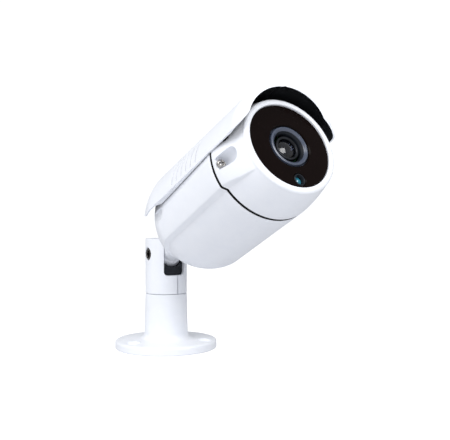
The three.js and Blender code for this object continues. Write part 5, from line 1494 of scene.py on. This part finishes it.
@dataclass
class FrontEnd:
    """The dark window with its trim ring, the lens and the light cell."""

    window_front: float = 152.9
    window_shoulder: float = 151.6
    window_rear: float = 149.6
    window_middle: float = 24.3
    window_radius: float = 25.7
    lens_hole: float = 12.3
    trim_radius: float = 11.6
    trim_opening: float = 8.4
    trim_lip: float = 9.5
    trim_flange: float = 13.6
    rib_count: int = 72
    rib_depth: float = 0.09
    lens_front: float = 150.5
    lens_head: float = 7.0
    lens_head_length: float = 6.0
    lens_thread: float = 5.8
    lens_thread_length: float = 12.0
    front_glass: float = 5.2
    glass_thickness: float = 2.4
    rear_glass: float = 3.6
    stop: float = 2.6
    cell_drop: float = 19.8
    holder_radius: float = 3.4
    cell_radius: float = 2.1
    cell_set_back: float = 1.2
    board_front: float = 140.6
    gap: float = 0.3

    def build(self) -> None:
        """Builds and dresses what is seen in the bezel's opening."""
        settle(self.window(), Body.CAMERA, Slot.WINDOW_PANEL, SMOKED_POLYCARBONATE, "front_window")
        settle(self.trim(), Body.CAMERA, Slot.TRIM_PLASTIC, PAINTED_ABS, "lens_trim_ring")
        settle(self.lens_barrel(), Body.LENS, Slot.BLACK_PLASTIC, ANODISED_ALUMINIUM, "lens_barrel")
        # the front element's dark tint is painted shade for the shadowed inside of the lens
        settle(self.front_element(), Body.LENS, Slot.LENS_GLASS, SHADE_TINTED_GLASS, "lens_front_element")
        settle(self.cell_holder(), Body.CAMERA, Slot.BLACK_PLASTIC, BLACK_NYLON, "photocell_holder")
        settle(self.cell(), Body.CAMERA, Slot.PHOTOCELL_GLASS, TEAL_EPOXY, "photocell")
        dress(BLACK_SILICONE, "window_seal")
        # the rear element takes the same dark tint, painted shade
        dress(SHADE_TINTED_GLASS, "lens_rear_element")

    def window(self) -> bpy.types.Object:
        """Turns the window with eased edges and cuts the light cell's hole.

        Returns:
            The new piece.
        """
        front, rear, middle = self.window_front, self.window_rear, self.window_middle
        body = turned("front_window_fine", np.array([
            (self.lens_hole, rear), (self.window_radius, rear), (self.window_radius, self.window_shoulder),
            (middle, self.window_shoulder), (middle, front - 0.3), (middle - 0.3, front),
            (self.lens_hole + 0.6, front), (self.lens_hole, front - 0.6),
        ]), BARREL)
        radius = self.holder_radius + self.gap
        hole = turned("hole", np.array([(0, rear - 1), (radius, rear - 1), (radius, front - 0.3),
                                        (radius + 0.8, front + 0.5), (0, front + 0.5)]),
                      BARREL.moved(up=-self.cell_drop), MEDIUM)
        return combine(body, "DIFFERENCE", hole)

    def trim(self) -> bpy.types.Object:
        """Lofts the trim ring: a rim with fine ribs on its outer side, and a black cone inside it.

        A rib lowers the radius by rib_depth * (1 - cos(count * angle)).

        Returns:
            The new piece.
        """
        front, flange_front = self.window_front, self.window_rear - self.gap
        profile = np.vstack([
            [(self.trim_opening, flange_front - 1.5), (self.trim_flange, flange_front - 1.5)],
            [(self.trim_flange, flange_front), (self.trim_radius, flange_front)],
            [(self.trim_radius, front - 0.7), (self.trim_radius - 0.25, front - 0.25)],
            arc((self.trim_radius - 1.1, front - 0.6), 0.6, 80, 100, 3),
            [(self.trim_radius - 1.5, front - 0.35), (self.trim_lip, front - 0.7)],
            [(self.trim_lip - 0.2, front - 1.0), (self.trim_opening + 0.2, front - 2.2)],
            [(self.trim_opening, front - 2.6)],
        ])
        angle = np.linspace(0, 2 * np.pi, 4 * self.rib_count, endpoint=False)
        ribbed = (profile[:, 0] > self.trim_radius - 0.3) & (profile[:, 1] > flange_front + 0.1)
        ribs = np.where(ribbed, self.rib_depth, 0)[:, None]
        radius = profile[:, :1] + ribs * (np.cos(self.rib_count * angle) - 1)
        grid = BARREL.place(radius * np.sin(angle), radius * np.cos(angle), profile[:, 1:])
        ring = rings("lens_trim_ring_fine", grid, True)
        row = np.repeat(np.arange(len(profile)), len(angle))
        ring.data.materials.append(PAINTED_ABS.material())
        ring.data.materials.append(BLACK_NYLON.material())
        inner_rows = 3
        ring.data.polygons.foreach_set("material_index", (row >= len(profile) - inner_rows).astype(np.int32))
        return ring

    def lens_barrel(self) -> bpy.types.Object:
        """Turns the lens barrel, with a chamfered face, fine baffle grooves inside and a thread outside.

        Returns:
            The new piece.
        """
        front, shoulder = self.lens_front, self.lens_front - self.lens_head_length
        rear = shoulder - self.lens_thread_length
        pocket = front - self.glass_thickness - self.gap
        turns = np.arange(int(self.lens_thread_length / 0.5) - 1)
        thread = np.stack([self.lens_thread - 0.3 * (turns % 2), shoulder - 0.5 - 0.5 * turns], -1)[::-1]
        depth = np.arange(10)
        steps = self.stop + 0.15 * (depth % 2) + 0.12 * (9 - depth)
        baffle = np.stack([steps, pocket - 0.5 - 0.45 * depth], -1)
        profile = np.vstack([
            [(self.rear_glass + self.gap, rear), (self.lens_thread, rear)],
            thread,
            [(self.lens_thread, shoulder), (self.lens_head, shoulder), (self.lens_head, front - 0.4)],
            arc((self.lens_head - 0.4, front - 0.4), 0.4, 0, 90, 4),
            [(self.front_glass + 0.7, front), (self.front_glass + 0.35, front - 0.35)],
            [(self.front_glass + 0.3, pocket), (self.stop + 1.4, pocket)],
            baffle,
            [(self.stop, rear + 2.1), (self.rear_glass + self.gap, rear + 2.1)],
        ])
        return turned("lens_barrel_fine", profile, BARREL, FINE)

    def front_element(self) -> bpy.types.Object:
        """Turns the front lens element: a flat ground back and a face that bulges as a circle's arc.

        Returns:
            The new piece.
        """
        rear = self.lens_front - self.glass_thickness
        sag = 1.3
        share = np.linspace(1, 0, 14)
        curve = np.stack([self.front_glass * share, rear + self.glass_thickness - sag * share**2], -1)
        profile = np.vstack([[(0, rear), (self.front_glass - 0.1, rear)], curve])
        return turned("lens_front_element_fine", profile, BARREL, MEDIUM)

    def cell_holder(self) -> bpy.types.Object:
        """Turns the light cell's holder, a tube with a funnel mouth.

        Returns:
            The new piece.
        """
        rear, front = self.board_front + self.gap, self.window_front
        bore = self.cell_radius + self.gap
        return turned("photocell_holder_fine", np.array([
            (bore, rear), (self.holder_radius, rear), (self.holder_radius, front - 0.3),
            (self.holder_radius - 0.3, front), (bore + 0.5, front), (bore, front - 0.8),
        ]), BARREL.moved(up=-self.cell_drop), MEDIUM)

    def cell(self) -> bpy.types.Object:
        """Turns the light cell with a domed face.

        Returns:
            The new piece.
        """
        rear, front = self.board_front + self.gap, self.window_front - self.cell_set_back
        share = np.linspace(1, 0, 12)
        curve = np.stack([self.cell_radius * share, front - 0.9 * share**2], -1)
        profile = np.vstack([[(0, rear), (self.cell_radius, rear)], curve])
        return turned("photocell_fine", profile, BARREL.moved(up=-self.cell_drop), MEDIUM)


# ---------------------------------------------------------------- inside


@dataclass
class Electronics:
    """The boards, their frame and the lens mount inside the housing, dressed as they are."""

    led_count: int = 6

    def build(self) -> None:
        """Dresses every inner node."""
        dress(GREEN_BOARD, "led_board", "sensor_board", "main_board")
        dress(LED_EPOXY, *[f"infrared_led_{k + 1}" for k in range(self.led_count)])
        dress(STAMPED_ALUMINIUM, "board_carrier")
        dress(TURNED_BRASS, *[f"led_board_post_{k}" for k in (1, 2, 3)])
        dress(TURNED_BRASS, "main_board_spacer_1", "main_board_spacer_2")
        dress(TURNED_BRASS, *[f"sensor_board_standoff_{k}" for k in (1, 2, 3, 4)])
        kinds = ("carrier_screw", "lens_holder_screw", "main_board_screw")
        dress(HEADED_STEEL, *[f"{kind}_{k}" for kind in kinds for k in (1, 2)])
        dress(BLACK_NYLON, "lens_holder", "filter_shuttle")
        dress(FILTER_GLASS, "infrared_filter")
        dress(SILICON_CHIP, "image_sensor")
        dress(WOUND_COPPER, "filter_coil")


# ---------------------------------------------------------------- studio


@dataclass
class Studio:
    """A plain pale floor, soft lights and the camera."""

    eye: tuple[float, float, float] = (-0.2121, -0.4126, 0.0880)
    look: tuple[float, float, float] = (0.5339, 0.8456, 0.0)
    focal_mm: float = 53.14
    sensor_mm: float = 36.0
    fill: float = 0.5  # the surround's strength as light
    backdrop: float = 1.1  # and as seen by the camera
    floor_glow: float = 0.78

    def build(self) -> None:
        """Builds the floor, lights, sky and camera."""
        bpy.context.scene.view_settings.view_transform = "Standard"
        self.floor()
        self.sky()
        self.camera()
        self.light("key", (-0.9, -0.25, 1.0), 0.9, 11.5)
        self.light("front", (-0.35, -1.25, 0.45), 0.5, 2.0)
        self.light("brow", (0.1, -1.0, 0.75), 0.5, 5.5)

    def floor(self) -> None:
        """A flat floor of pale board that looks nearly white and throws back a part of its light."""
        size = 6.0
        corners = np.array([(-size, -size, 0), (size, -size, 0), (size, size, 0), (-size, size, 0)], float)
        plane = build("floor", corners, [np.array([[0, 1, 2, 3]])])
        board = Finish(
            "painted_board_rolled", "#d1d2d5", "#cdced1", 0.9, mottle_mm=80, grain_mm=2, relief_mm=0.02
        )
        material = board.material()
        tree = material.node_tree
        shader = tree.nodes["Principled BSDF"]
        shader.inputs["Emission Color"].default_value = linear("#ffffff")
        seen = add_node(tree, "ShaderNodeLightPath").outputs["Is Camera Ray"]
        levels = {"To Min": 0.0, "To Max": self.floor_glow}
        glow = add_node(tree, "ShaderNodeMapRange", levels, {"Value": seen})
        tree.links.new(glow.outputs["Result"], shader.inputs["Emission Strength"])
        plane.data.materials.append(material)

    def sky(self) -> None:
        """A surround that looks white and lights the object with a part of that."""
        world = bpy.data.worlds.new("studio")
        world.use_nodes = True
        tree = world.node_tree
        seen = add_node(tree, "ShaderNodeLightPath").outputs["Is Camera Ray"]
        levels = {"To Min": self.fill, "To Max": self.backdrop}
        strength = add_node(tree, "ShaderNodeMapRange", levels, {"Value": seen})
        background = tree.nodes["Background"]
        background.inputs["Color"].default_value = linear("#fafcff")
        tree.links.new(strength.outputs["Result"], background.inputs["Strength"])
        bpy.context.scene.world = world

    def light(self, name: str, place: tuple[float, float, float], size: float, watts: float) -> None:
        """A square soft light that faces the camera's body.

        Args:
            name: the light's name.
            place: where it hangs, in metres.
            size: its side, in metres.
            watts: its power.
        """
        lamp = bpy.data.lights.new(name, "AREA")
        lamp.size = size
        lamp.energy = watts
        thing = bpy.data.objects.new(name, lamp)
        thing.location = place
        target = np.array([0, -0.06, 0.09])
        thing.rotation_euler = direction(target - np.array(place))
        bpy.context.scene.collection.objects.link(thing)

    def camera(self) -> None:
        """The camera, level, at the picture's angle."""
        lens = bpy.data.cameras.new("camera")
        lens.lens = self.focal_mm
        lens.sensor_width = self.sensor_mm
        lens.sensor_fit = "HORIZONTAL"
        lens.clip_start = 0.01
        thing = bpy.data.objects.new("camera", lens)
        thing.location = self.eye
        thing.rotation_euler = direction(np.array(self.look))
        bpy.context.scene.collection.objects.link(thing)
        bpy.context.scene.camera = thing


def direction(vector: np.ndarray) -> tuple[float, float, float]:
    """Returns the turns that point an object's -Z along a vector with its Y axis upright."""
    flat = math.hypot(vector[0], vector[1])
    return math.atan2(flat, -vector[2]), 0.0, math.atan2(vector[1], vector[0]) - math.pi / 2


def main() -> None:
    """Builds every sub-assembly in order and writes the two boxes."""
    logging.basicConfig(level=logging.INFO, format="%(message)s", stream=sys.stdout)
    for part in (Studio(), WallBracket(), SwivelArm(), Barrel(), Sunshield(), FrontEnd(), Electronics()):
        log.info("%s", type(part).__doc__.splitlines()[0])
        part.build()


if __name__ == "__main__":
    main()
